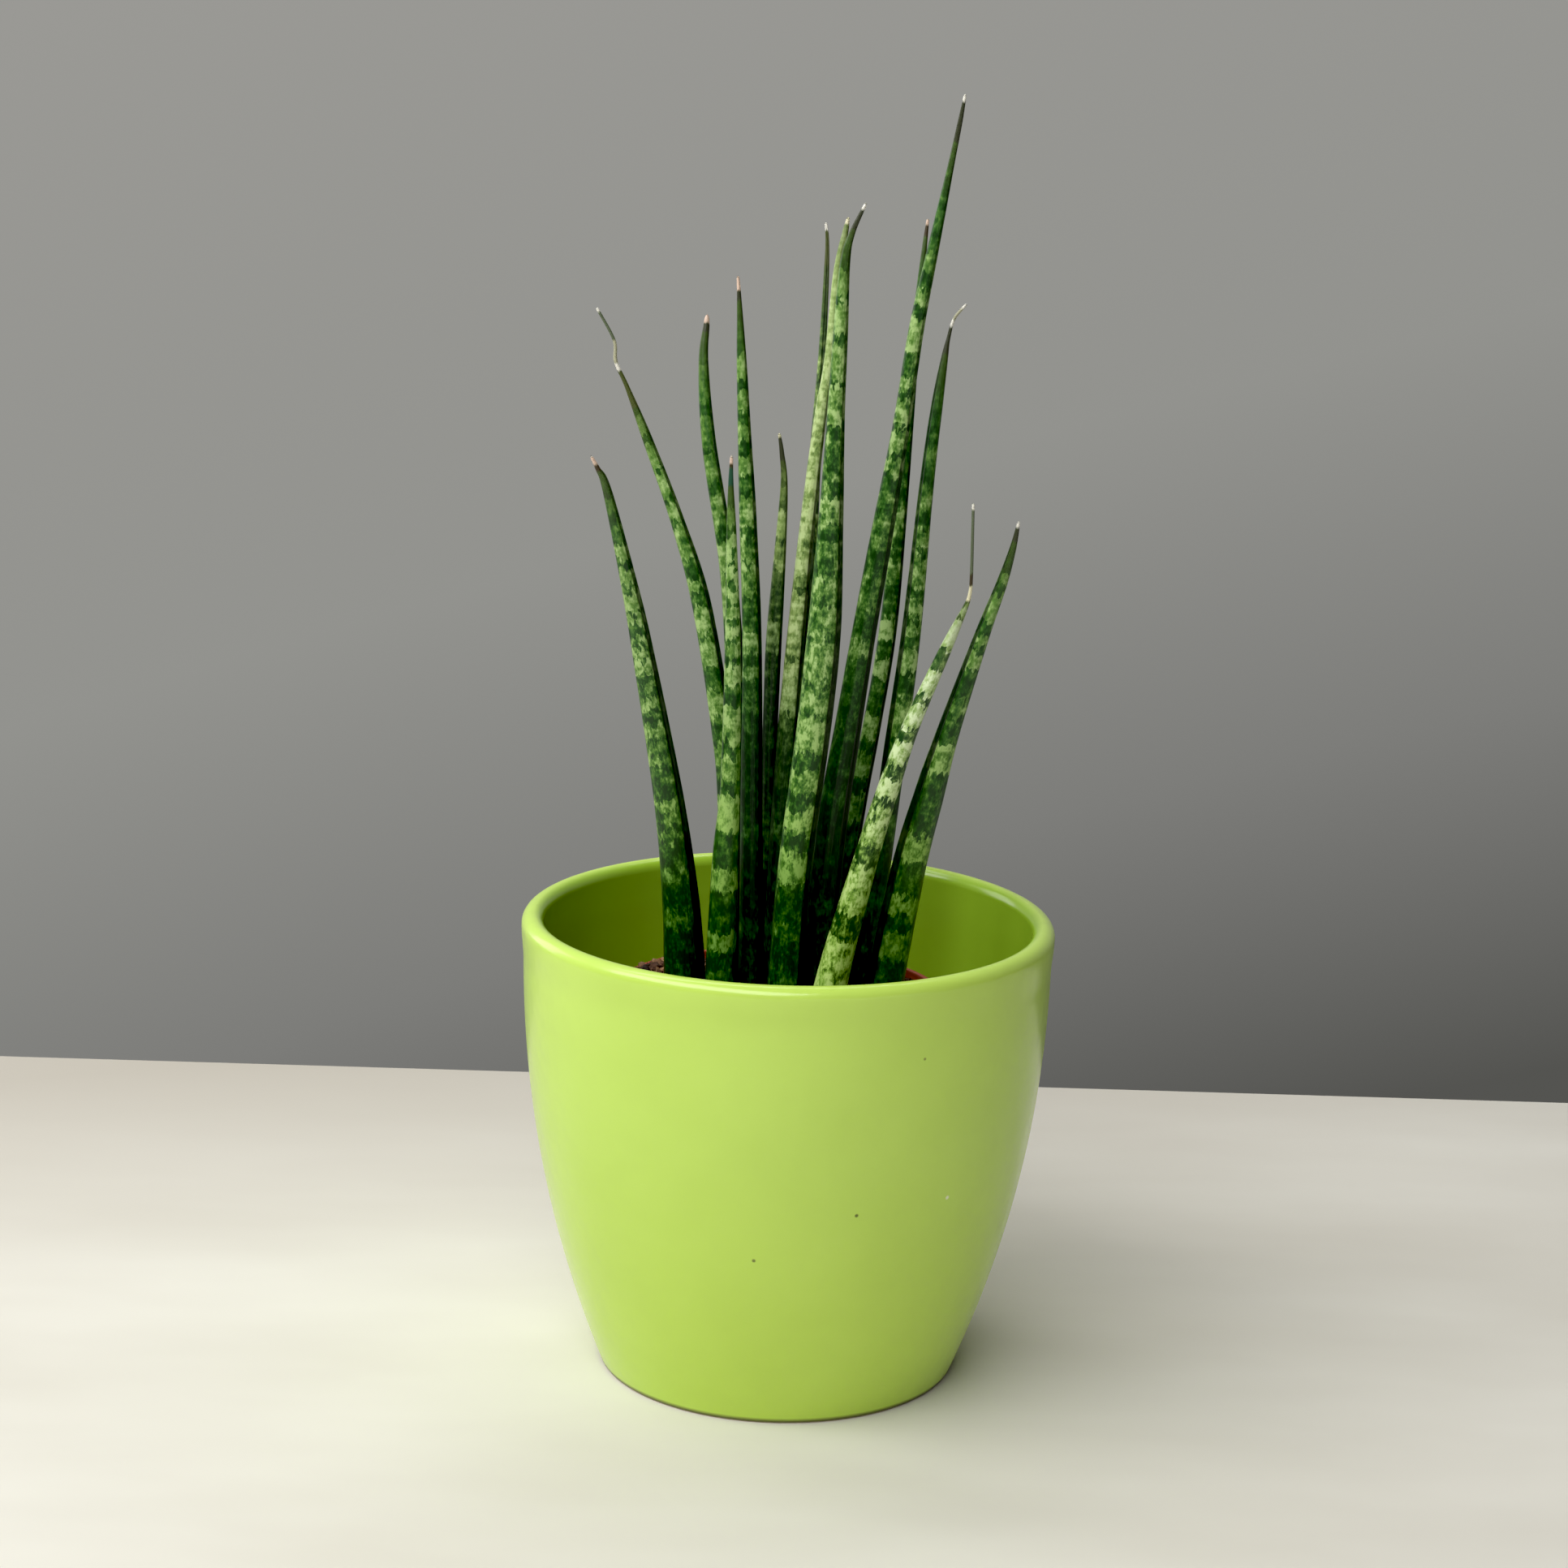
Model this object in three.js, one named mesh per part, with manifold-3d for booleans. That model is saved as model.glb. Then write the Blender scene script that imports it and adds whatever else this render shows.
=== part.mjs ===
// A fernwood snake plant in its nursery pot, which stands loose in a glazed cover pot.
// Millimetres, +Z up. The origin is the centre of the cover pot's underside, so z = 0 is the table.
import * as THREE from 'three';
import { mergeVertices } from 'three/addons/utils/BufferGeometryUtils.js';
import Module from 'manifold-3d';

// Driving dimensions

// Cover pot: glazed ceramic, 138.6 across the rolled rim and 121.6 tall.
const RIM_RADIUS = 69.3;
const POT_HEIGHT = 121.6;
const LIP_THICKNESS = 5.8;
const NECK_RADIUS = 68.7;
const NECK_HEIGHT = 113;
const BASE_RADIUS = 46.9;
const BELLY_POWER = 2.1;
const BELLY_START = 6;
const POT_WALL = 5.5;
const POT_FLOOR = 7;
const FLOOR_FILLET = 9;
const FOOT_WIDTH = 4.5;
const FOOT_EDGE = 0.8;
const FOOT_RECESS = 1.4;
const POT_SIDES = 60;

// Nursery pot: thin moulded plastic, 87 across the collar. It stands a little left of the middle.
const INNER_X = -2;
const COLLAR_RADIUS = 43.5;
const COLLAR_TOP = 100.5;
const COLLAR_HEIGHT = 9;
const COLLAR_STEP = 1.6;
const COLLAR_EDGE = 0.4;
const PLASTIC = 1.2;
const INNER_BASE_RADIUS = 31;
const DRAIN_STEP = 2;
const DRAIN_RING = 5;
const DRAIN_RADIUS = 3.5;
const DRAIN_SIDES = 12;
const DRAIN_CIRCLE = 17;
const DRAIN_HOLES = 6;
const INNER_SIDES = 48;

// Soil: fills the nursery pot to just under its collar, and heaps up towards the back left.
const SOIL_LEVEL = 97.5;
const SOIL_CROWN = 2.2;
const SOIL_HEAP = 2.6;
const SOIL_HEAP_AT = [-33, 19];
const SOIL_HEAP_REACH = 15;
const CLOD_COUNT = 46;
const CLOD_RADIUS = 5;
const CLOD_HEIGHT = 1.1;
const SOIL_SEED = 7;
const SOIL_SIDES = 48;
const SOIL_RINGS = 9;

// Leaves: nearly round spikes with one channel down one side.
const CHANNEL_DEPTH = 0.26;
const CHANNEL_HALF_ANGLE = 24;
const STATIONS_PER_POINT = 2;
const HOLE_STATIONS = 3;

// Clearances between pieces that touch.
const SEAT_GAP = 0.3;
const HOLE_GAP = 0.35;

// Each leaf's middle line from its foot in the soil to the end of its dry tip, as x, y, z and the
// half width there. channel is the direction its groove faces, in degrees from +X towards +Y.
const LEAVES = [
  { name: 'leaf_01', channel: -25, line: [[-26.5, -7.5, 90, 5.6], [-26.5, -8.5, 108, 5.4], [-28, -10.5, 129, 4.7],
    [-31.5, -14, 156, 3.8], [-38.4, -19.5, 194, 2.7], [-42.8, -23, 215, 1.9], [-47.6, -26.5, 235, 1.1],
    [-49.8, -27.5, 240, 0.6], [-51.4, -28, 243, 0.35]] },
  { name: 'leaf_02', channel: -28, line: [[-15.5, 8.5, 90, 3.7], [-15.5, 9.5, 120, 3.5], [-16.5, 10.8, 150, 3.1],
    [-19.3, 12.5, 171, 2.8], [-25.2, 14.8, 201, 2.5], [-32, 16.8, 222, 1.8], [-40, 18.8, 242, 1.3],
    [-45.5, 20, 255, 0.6], [-48.6, 20.6, 261.5, 0.5], [-49.2, 21, 267, 0.4], [-53.8, 22, 275, 0.35]] },
  { name: 'leaf_03', channel: -25, line: [[-11, 20, 90, 3.4], [-12, 23, 130, 3.1], [-15.2, 27, 170, 2.7],
    [-18.6, 30.5, 206, 2.2], [-24.5, 35, 239, 1.9], [-26.6, 38, 260, 1.3], [-26.1, 39.6, 270, 0.8],
    [-26, 40, 272.5, 0.4]] },
  { name: 'leaf_04', channel: 70, line: [[-17, -16, 90, 4.1], [-17, -16, 110, 3.9], [-16.5, -15.6, 140, 3.3],
    [-15.8, -15.3, 160, 2.5], [-16, -15, 194, 2], [-17, -14.4, 222, 1.3], [-17.5, -14, 235, 0.7],
    [-17.5, -14, 242.5, 0.35]] },
  { name: 'leaf_05', channel: -25, line: [[-9.5, -4, 90, 3.5], [-9.5, -3, 110, 3.2], [-10.4, -1, 149, 2.9],
    [-11.4, 1.4, 192, 2.5], [-13.3, 3.5, 224, 2.2], [-14.8, 5, 246, 1.7], [-16, 6.4, 264, 1.25],
    [-17, 7.5, 279, 0.6], [-17.5, 8, 285, 0.35]] },
  { name: 'leaf_06', channel: -25, line: [[-8, 10, 90, 2.8], [-7.5, 9.6, 115, 2.5], [-6.5, 8.6, 143, 2.2],
    [-6.2, 7.8, 170, 2], [-5.9, 7.2, 192, 2.05], [-4.9, 6.7, 216, 1.5], [-4.4, 6.4, 233, 0.9],
    [-5.2, 6.2, 241, 0.6], [-6, 6, 246, 0.35]] },
  { name: 'leaf_07', channel: -80, line: [[1.5, 15, 90, 3.3], [2, 20, 140, 2.9], [2.4, 28, 190, 2.3],
    [3.2, 35, 230, 1.7], [4.4, 40.2, 262, 1.05], [4.9, 43.5, 282, 0.75], [4.9, 45.2, 292, 0.5],
    [4.4, 46, 297, 0.35]] },
  { name: 'leaf_08', channel: -25, line: [[-3, 2, 90, 3.6], [-3, 2.6, 120, 3.2], [-2.4, 3.8, 150, 2.8],
    [-1.3, 5, 177, 2.5], [1.2, 6.9, 215, 2], [4.2, 8.8, 249, 1.6], [6.1, 9.6, 264, 1.35],
    [7.4, 10.8, 286, 1], [9.1, 11.7, 296, 0.8], [9.8, 12, 300, 0.4]] },
  { name: 'leaf_09', channel: -25, line: [[-0.5, -13.8, 90, 4.7], [-0.2, -14.1, 110, 4.5], [1.4, -14.9, 140, 4.3],
    [4.9, -16.1, 174, 4.35], [6.8, -17.2, 200, 4.2], [7.6, -18.5, 230, 3], [8, -19.5, 254, 2.2],
    [8.5, -20.5, 275, 1.8], [9, -21.3, 291, 1.25], [10.4, -21.7, 298, 0.75], [13.6, -22, 305.5, 0.35]] },
  { name: 'leaf_10', channel: -28, line: [[6.5, -1.5, 90, 4.4], [7.5, -2, 106, 4.3], [10.7, -2.8, 148, 3.9],
    [13.6, -3.3, 171, 3.5], [17, -4, 197, 3.1], [20, -4.5, 218, 2.9], [24.4, -5.4, 249, 2.2],
    [27.5, -6.2, 275, 1.9], [31, -6.8, 295.5, 1.4], [34.4, -7.5, 315, 0.8], [36.1, -7.8, 325, 0.6],
    [37.1, -8, 331.6, 0.35]] },
  { name: 'leaf_11', channel: -25, line: [[10.5, 12.5, 90, 3.5], [13, 13.5, 120, 3.1], [17.3, 15, 150, 2.6],
    [20.5, 16.6, 170, 2.4], [23.8, 18.8, 195, 2.3], [26, 22, 230, 1.9], [28, 26, 266, 1.3],
    [29.6, 28.7, 289, 0.75], [30.5, 30, 299.5, 0.35]] },
  { name: 'leaf_12', channel: -150, line: [[19.5, 7.5, 90, 4], [21.5, 8.7, 118, 3.6], [24.6, 10.2, 146, 3.1],
    [27, 11.5, 169, 2.9], [29.8, 13.4, 197, 2.5], [32.2, 16, 232, 1.9], [34.2, 17.8, 253, 1.5],
    [35.7, 18.8, 265, 0.9], [36.5, 19.2, 270, 0.5], [37.8, 19.7, 275, 0.4], [40.8, 20, 278.8, 0.35]] },
  { name: 'leaf_13', channel: 150, line: [[9.2, -17.2, 90, 4.4], [11.4, -17.5, 108.5, 4.2],
    [18.8, -20.6, 141, 3.2], [23.6, -22.8, 159.5, 2.8], [28.8, -25.1, 177, 2.2], [36.8, -28.2, 198, 1.5],
    [41, -29.8, 208.5, 0.7], [42, -30.3, 212, 0.45], [42.2, -31.2, 217, 0.4], [41.8, -34, 235, 0.35]] },
  { name: 'leaf_14', channel: -155, line: [[23.5, -8, 90, 5], [25.6, -8.4, 108, 4.9], [30.6, -10.6, 139, 4.4],
    [34.7, -12.2, 157, 3.8], [39, -13.9, 174.5, 2.9], [46.4, -16.6, 200, 1.9], [50.5, -18.1, 213, 1.4],
    [52.8, -19.2, 222, 0.85], [54, -20, 229, 0.35]] },
];

// Materials

const glaze = new THREE.MeshStandardMaterial({ color: 0xb9d957, roughness: 0.28, metalness: 0 });
const terracottaPlastic = new THREE.MeshStandardMaterial({ color: 0x9c4630, roughness: 0.6, metalness: 0 });
const peat = new THREE.MeshStandardMaterial({ color: 0x3a2a1e, roughness: 1, metalness: 0 });
const leafGreen = new THREE.MeshStandardMaterial({ color: 0x3f6b33, roughness: 0.5, metalness: 0 });

// Solid joins and cuts

const wasm = await Module();
wasm.setup();

function weld(geometry) {
  geometry.deleteAttribute('normal');
  geometry.deleteAttribute('uv');
  return mergeVertices(geometry, 1e-4);
}

function toSolid(geometry) {
  const closed = weld(geometry);
  return new wasm.Manifold(new wasm.Mesh({
    numProp: 3,
    vertProperties: new Float32Array(closed.attributes.position.array),
    triVerts: new Uint32Array(closed.index.array),
  }));
}

function toGeometry(solid) {
  const mesh = solid.getMesh();
  const geometry = new THREE.BufferGeometry();
  geometry.setAttribute('position', new THREE.BufferAttribute(mesh.vertProperties, 3));
  geometry.setIndex(new THREE.BufferAttribute(mesh.triVerts, 1));
  return geometry;
}

function named(name, geometry, material) {
  const mesh = new THREE.Mesh(geometry, material);
  mesh.name = name;
  return mesh;
}

// A profile of [radius, height] points turned about the vertical axis.
function turned(profile, sides) {
  const points = profile.map(([radius, height]) => new THREE.Vector2(radius, height));
  const geometry = new THREE.LatheGeometry(points, sides);
  geometry.rotateX(Math.PI / 2);
  return geometry;
}

function arc(centreRadius, centreHeight, radius, fromDegrees, toDegrees, steps) {
  return Array.from({ length: steps + 1 }, (_, i) => {
    const angle = THREE.MathUtils.degToRad(fromDegrees + (toDegrees - fromDegrees) * i / steps);
    return [centreRadius + radius * Math.cos(angle), centreHeight + radius * Math.sin(angle)];
  });
}

function spaced(from, to, steps) {
  return Array.from({ length: steps + 1 }, (_, i) => from + (to - from) * i / steps);
}

// Cover pot

function bellyRadius(height) {
  const belowNeck = Math.max(0, 1 - height / NECK_HEIGHT);
  return NECK_RADIUS - (NECK_RADIUS - BASE_RADIUS) * belowNeck ** BELLY_POWER;
}

function coverPot() {
  const lip = LIP_THICKNESS / 2;
  const lipHeight = POT_HEIGHT - lip;
  const footInside = BASE_RADIUS - FOOT_WIDTH;
  const floorEdge = bellyRadius(POT_FLOOR + FLOOR_FILLET) - POT_WALL;
  const profile = [
    [0, FOOT_RECESS],
    [footInside - FOOT_RECESS, FOOT_RECESS],
    [footInside, 0],
    [BASE_RADIUS - FOOT_EDGE, 0],
    [bellyRadius(FOOT_EDGE), FOOT_EDGE],
    ...spaced(BELLY_START, NECK_HEIGHT, 11).map((height) => [bellyRadius(height), height]),
    ...arc(RIM_RADIUS - lip, lipHeight, lip, -30, 210, 8),
    ...spaced(NECK_HEIGHT, POT_FLOOR + FLOOR_FILLET, 7).map((height) => [bellyRadius(height) - POT_WALL, height]),
    ...arc(floorEdge - FLOOR_FILLET, POT_FLOOR + FLOOR_FILLET, FLOOR_FILLET, 0, -90, 3).slice(1),
    [0, POT_FLOOR],
  ];
  return toGeometry(toSolid(turned(profile, POT_SIDES)));
}

// Nursery pot

const INNER_FOOT = POT_FLOOR + SEAT_GAP;
const COLLAR_UNDER = COLLAR_TOP - COLLAR_HEIGHT;
const WALL_TOP_RADIUS = COLLAR_RADIUS - COLLAR_STEP;

function plasticOuterRadius(height) {
  const up = (height - INNER_FOOT) / (COLLAR_UNDER - INNER_FOOT);
  return INNER_BASE_RADIUS + (WALL_TOP_RADIUS - INNER_BASE_RADIUS) * up;
}

function nurseryPot() {
  const floorUnder = INNER_FOOT + DRAIN_STEP;
  const floorTop = floorUnder + PLASTIC;
  const stepRadius = INNER_BASE_RADIUS - DRAIN_RING;
  const profile = [
    [0, floorUnder],
    [stepRadius, floorUnder],
    [stepRadius + COLLAR_EDGE, INNER_FOOT],
    [INNER_BASE_RADIUS, INNER_FOOT],
    [WALL_TOP_RADIUS, COLLAR_UNDER],
    [COLLAR_RADIUS, COLLAR_UNDER + COLLAR_EDGE],
    [COLLAR_RADIUS, COLLAR_TOP - COLLAR_EDGE],
    [COLLAR_RADIUS - COLLAR_EDGE, COLLAR_TOP],
    [COLLAR_RADIUS - PLASTIC, COLLAR_TOP - COLLAR_EDGE / 2],
    [COLLAR_RADIUS - PLASTIC, COLLAR_UNDER + PLASTIC + COLLAR_EDGE],
    [WALL_TOP_RADIUS - PLASTIC, COLLAR_UNDER + PLASTIC - COLLAR_EDGE / 2],
    [plasticOuterRadius(floorTop) - PLASTIC, floorTop],
    [0, floorTop],
  ];
  let solid = toSolid(turned(profile, INNER_SIDES));
  for (let i = 0; i < DRAIN_HOLES; i += 1) {
    const angle = 2 * Math.PI * i / DRAIN_HOLES;
    const drill = new THREE.CylinderGeometry(DRAIN_RADIUS, DRAIN_RADIUS, 4 * DRAIN_STEP, DRAIN_SIDES);
    drill.rotateX(Math.PI / 2);
    drill.translate(DRAIN_CIRCLE * Math.cos(angle), DRAIN_CIRCLE * Math.sin(angle), floorTop);
    solid = solid.subtract(toSolid(drill));
  }
  const geometry = toGeometry(solid);
  geometry.translate(INNER_X, 0, 0);
  return geometry;
}

// Leaves

// Half width of the section at an angle from the channel, as a share of the full half width.
const SECTION_ANGLES = [0, CHANNEL_HALF_ANGLE, 60, 100, 140, 180, 220, 260, 300, 360 - CHANNEL_HALF_ANGLE];

function leafCurves(leaf) {
  const middle = new THREE.CatmullRomCurve3(
    leaf.line.map(([x, y, z]) => new THREE.Vector3(x, y, z)), false, 'catmullrom', 0.5);
  const width = new THREE.CatmullRomCurve3(
    leaf.line.map(([, , , half]) => new THREE.Vector3(half, 0, 0)), false, 'catmullrom', 0.5);
  return { middle, width };
}

// A closed cylinder of unit sides, bent along the leaf's middle line and drawn in to its width.
function spike(leaf, { from = 0, to = 1, extra = 0, channel = CHANNEL_DEPTH, stations }) {
  const { middle, width } = leafCurves(leaf);
  const sides = SECTION_ANGLES.length;
  const geometry = weld(new THREE.CylinderGeometry(1, 1, 1, sides, stations));
  const facing = THREE.MathUtils.degToRad(leaf.channel);
  const outward = new THREE.Vector3(Math.cos(facing), Math.sin(facing), 0);
  const position = geometry.attributes.position;
  const vertex = new THREE.Vector3();
  for (let i = 0; i < position.count; i += 1) {
    vertex.fromBufferAttribute(position, i);
    const t = from + (to - from) * (vertex.y + 0.5);
    const tangent = middle.getTangent(t);
    const across = outward.clone().addScaledVector(tangent, -outward.dot(tangent)).normalize();
    const beside = new THREE.Vector3().crossVectors(tangent, across);
    const place = middle.getPoint(t);
    if (Math.hypot(vertex.x, vertex.z) > 0.5) {
      const turn = Math.atan2(vertex.x, vertex.z) / (2 * Math.PI);
      const side = Math.round(((turn + 1) % 1) * sides) % sides;
      const angle = THREE.MathUtils.degToRad(SECTION_ANGLES[side]);
      const inset = side === 0 ? 1 - channel : 1;
      const radius = (width.getPoint(t).x + extra) * inset;
      place.addScaledVector(across, radius * Math.cos(angle));
      place.addScaledVector(beside, radius * Math.sin(angle));
    }
    position.setXYZ(i, place.x, place.y, place.z);
  }
  return geometry;
}

function leafGeometry(leaf) {
  return spike(leaf, { stations: (leaf.line.length - 1) * STATIONS_PER_POINT });
}

// The plain round hole that a leaf stands in: its own foot, a little wider, let down below the foot.
function footHole(leaf) {
  const footEnd = 1 / (leaf.line.length - 1);
  const hole = spike(leaf, { to: footEnd, extra: HOLE_GAP, channel: 0, stations: HOLE_STATIONS });
  hole.translate(0, 0, -SEAT_GAP);
  return hole;
}

// Soil

function seededRandom(seed) {
  let state = seed;
  return () => {
    state = (state * 1664525 + 1013904223) % 4294967296;
    return state / 4294967296;
  };
}

function makeClods() {
  const random = seededRandom(SOIL_SEED);
  return Array.from({ length: CLOD_COUNT }, () => {
    const distance = WALL_TOP_RADIUS * Math.sqrt(random());
    const angle = 2 * Math.PI * random();
    return {
      x: INNER_X + distance * Math.cos(angle),
      y: distance * Math.sin(angle),
      reach: CLOD_RADIUS * (0.6 + 0.8 * random()),
      rise: CLOD_HEIGHT * (2 * random() - 0.9),
    };
  });
}

function bump(x, y, centreX, centreY, reach) {
  const distance = Math.hypot(x - centreX, y - centreY) / reach;
  return distance < 1 ? 0.5 + 0.5 * Math.cos(Math.PI * distance) : 0;
}

function soil() {
  const clods = makeClods();
  const surface = (x, y) => {
    const fromMiddle = Math.hypot(x - INNER_X, y) / WALL_TOP_RADIUS;
    const crown = SOIL_CROWN * (1 - fromMiddle ** 2);
    const heap = SOIL_HEAP * bump(x, y, ...SOIL_HEAP_AT, SOIL_HEAP_REACH);
    const lumps = clods.reduce((sum, clod) => sum + clod.rise * bump(x, y, clod.x, clod.y, clod.reach), 0);
    return SOIL_LEVEL + crown + heap + lumps;
  };
  const floorTop = INNER_FOOT + DRAIN_STEP + PLASTIC + SEAT_GAP;
  const collarInside = COLLAR_RADIUS - PLASTIC - SEAT_GAP;
  const wallInside = (height) => plasticOuterRadius(height) - PLASTIC - SEAT_GAP;
  const profile = [
    [0, floorTop],
    [wallInside(floorTop), floorTop],
    [wallInside(COLLAR_UNDER), COLLAR_UNDER],
    [wallInside(COLLAR_UNDER), COLLAR_UNDER + PLASTIC + COLLAR_EDGE / 2],
    [collarInside, COLLAR_UNDER + PLASTIC + COLLAR_EDGE + SEAT_GAP],
    ...spaced(collarInside, 0, SOIL_RINGS).map((radius) => [radius, SOIL_LEVEL]),
  ];
  const body = weld(turned(profile, SOIL_SIDES));
  const position = body.attributes.position;
  for (let i = 0; i < position.count; i += 1) {
    const x = position.getX(i) + INNER_X;
    const y = position.getY(i);
    const atTop = position.getZ(i) > SOIL_LEVEL - 0.01;
    position.setXYZ(i, x, y, atTop ? surface(x, y) : position.getZ(i));
  }
  let solid = toSolid(body);
  for (const leaf of LEAVES) {
    solid = solid.subtract(toSolid(footHole(leaf)));
  }
  return toGeometry(solid);
}

// The whole plant, put together

const plant = new THREE.Group();
plant.add(named('cover_pot', coverPot(), glaze));
plant.add(named('nursery_pot', nurseryPot(), terracottaPlastic));
plant.add(named('soil', soil(), peat));
for (const leaf of LEAVES) {
  plant.add(named(leaf.name, leafGeometry(leaf), leafGreen));
}

export default plant;
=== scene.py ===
import math

import bmesh
import bpy
import numpy as np
from mathutils import Matrix, Vector


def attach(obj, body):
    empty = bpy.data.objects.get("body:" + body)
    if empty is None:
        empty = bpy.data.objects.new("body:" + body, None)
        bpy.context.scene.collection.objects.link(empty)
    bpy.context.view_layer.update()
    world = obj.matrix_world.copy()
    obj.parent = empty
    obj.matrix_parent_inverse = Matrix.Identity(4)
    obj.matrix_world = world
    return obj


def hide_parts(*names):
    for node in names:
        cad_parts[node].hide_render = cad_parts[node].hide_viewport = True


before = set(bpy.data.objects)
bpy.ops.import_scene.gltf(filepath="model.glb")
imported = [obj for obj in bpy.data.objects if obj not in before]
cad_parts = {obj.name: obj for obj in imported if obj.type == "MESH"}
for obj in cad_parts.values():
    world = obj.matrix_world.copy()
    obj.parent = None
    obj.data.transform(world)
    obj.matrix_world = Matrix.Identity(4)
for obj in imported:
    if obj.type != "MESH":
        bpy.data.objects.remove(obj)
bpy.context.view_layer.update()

scene = bpy.context.scene


# Camera
# A hand-held camera about 0.8 m in front of the pot, level with the leaf tips and looking down on the rim.

MM = 0.001
EYE = Vector((0, -816.6, 341.9)) * MM
LOOK_DOWN = math.radians(12.81)
LOOK_LEFT = math.radians(0.154)
LEAN = math.radians(1.665)
FILM_WIDTH = 36
LENS = 74.53
BLACK_LEVEL = 0.01

camera = bpy.data.objects.new("camera", bpy.data.cameras.new("camera"))
camera.data.sensor_width = FILM_WIDTH
camera.data.lens = LENS
camera.matrix_world = (
    Matrix.Translation(EYE)
    @ Matrix.Rotation(LOOK_LEFT, 4, "Z")
    @ Matrix.Rotation(math.radians(90) - LOOK_DOWN, 4, "X")
    @ Matrix.Rotation(LEAN, 4, "Z")
)
scene.collection.objects.link(camera)
scene.camera = camera
scene.view_settings.view_transform = "Standard"
scene.view_settings.use_curve_mapping = True
scene.view_settings.curve_mapping.black_level = (BLACK_LEVEL,) * 3


# Floor and light
# A pale board to stand on, darkened towards the far left by painted shade, a plain grey surround, a large
# soft light at the front left and three weak ones. The surround darkens towards the board and the right, as a
# painted wall does by a window.

FLOOR_SIDE = 0.75
FLOOR_FRONT = -1.1
FLOOR_BACK = 0.235
FLOOR_SLANT = -0.35
FLOOR_PAINTED_SHADE = (0.1, 0.3)
WALL_LOW = -0.36
WALL_HIGH = 0.09
WALL_SLANT = 0.3
WALL_TOP = 0.2
WALL_SIDE = 0.35
ROOM_SIDE = -0.1
ROOM_DARK = 0.5
WALL_REACH = 1.5


def tint(red, green, blue):
    """A colour as the eye names it, 0 to 255, turned into the linear values that a shader takes."""
    shares = (part / 255 for part in (red, green, blue))
    linear = [s / 12.92 if s <= 0.04045 else ((s + 0.055) / 1.055) ** 2.4 for s in shares]
    return (*linear, 1)


def put(tree, kind, inputs=(), **settings):
    """Adds a node and gives its first output. An input that is a socket is linked, any other is set."""
    node = tree.nodes.new(kind)
    for name, value in settings.items():
        setattr(node, name, value)
    sockets = [socket for socket in node.inputs if socket.enabled]
    if not isinstance(inputs, dict):
        inputs = dict(zip(range(len(sockets)), inputs))
    for name, value in inputs.items():
        named = (socket for socket in sockets if socket.name == name)
        socket = sockets[name] if isinstance(name, int) else next(named)
        if isinstance(value, bpy.types.NodeSocket):
            tree.links.new(value, socket)
        else:
            socket.default_value = value
    return next((socket for socket in node.outputs if socket.enabled), node)


def calc(tree, operation, *values):
    return put(tree, "ShaderNodeMath", values, operation=operation)


def vector(tree, operation, *values):
    """Sums with vectors. A dot product and a distance give a number, and the others a vector."""
    return put(tree, "ShaderNodeVectorMath", values, operation=operation)


def axes(tree, value):
    """The x, y and z of a vector."""
    return put(tree, "ShaderNodeSeparateXYZ", [value]).node.outputs


def fit(tree, value, low, high, at_low=0.0, at_high=1.0):
    """Turns low..high into at_low..at_high, and holds it there beyond."""
    return put(tree, "ShaderNodeMapRange", [value, low, high, at_low, at_high])


def mixed(tree, share, first, second, way="MIX"):
    inputs = {"Factor": share, "A": first, "B": second}
    return put(tree, "ShaderNodeMix", inputs, data_type="RGBA", blend_type=way)


def ramp(tree, value, stops, interpolation="LINEAR"):
    """A colour ramp through (place, colour) stops, in rising order of place."""
    colour = put(tree, "ShaderNodeValToRGB", [value])
    scale = colour.node.color_ramp
    scale.interpolation = interpolation
    while len(scale.elements) < len(stops):
        scale.elements.new(1)
    for element, (place, shade) in zip(scale.elements, stops):
        element.position = place
        element.color = shade
    return colour


def grain(tree, place, size, detail=2.0, roughness=0.5):
    """Noise round 0.5 whose lumps are size millimetres across, given for each axis."""
    steps = [1 / (length * MM) for length in size]
    spread = vector(tree, "MULTIPLY", place, steps)
    noise = {"Vector": spread, "Scale": 1.0, "Detail": detail, "Roughness": roughness}
    return put(tree, "ShaderNodeTexNoise", noise)


def swing(tree, noise, reach):
    """Noise round 0.5 turned into a swing round zero."""
    return calc(tree, "MULTIPLY", calc(tree, "SUBTRACT", noise, 0.5), reach)


def finish_of(name):
    """A new material, its empty node tree, and the place on the object as its Object coordinates."""
    material = bpy.data.materials.new(name)
    material.use_nodes = True
    tree = material.node_tree
    tree.nodes.clear()
    place = put(tree, "ShaderNodeTexCoord").node.outputs["Object"]
    return material, tree, place


def surface(tree, **inputs):
    """Ends a material in a Principled shader. An underline in a name stands for a space."""
    named = {name.replace("_", " "): value for name, value in inputs.items()}
    shader = put(tree, "ShaderNodeBsdfPrincipled", named)
    put(tree, "ShaderNodeOutputMaterial", [shader])


def relief(tree, height, depth, strength=1.0):
    """Bump from a height of 0 to 1 that stands for depth millimetres."""
    return put(tree, "ShaderNodeBump", {"Height": height, "Distance": depth * MM, "Strength": strength})


def stand_object(name, mesh, material=None):
    piece = bpy.data.objects.new(name, mesh)
    scene.collection.objects.link(piece)
    if material:
        mesh.materials.clear()
        mesh.materials.append(material)
    return piece


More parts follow.
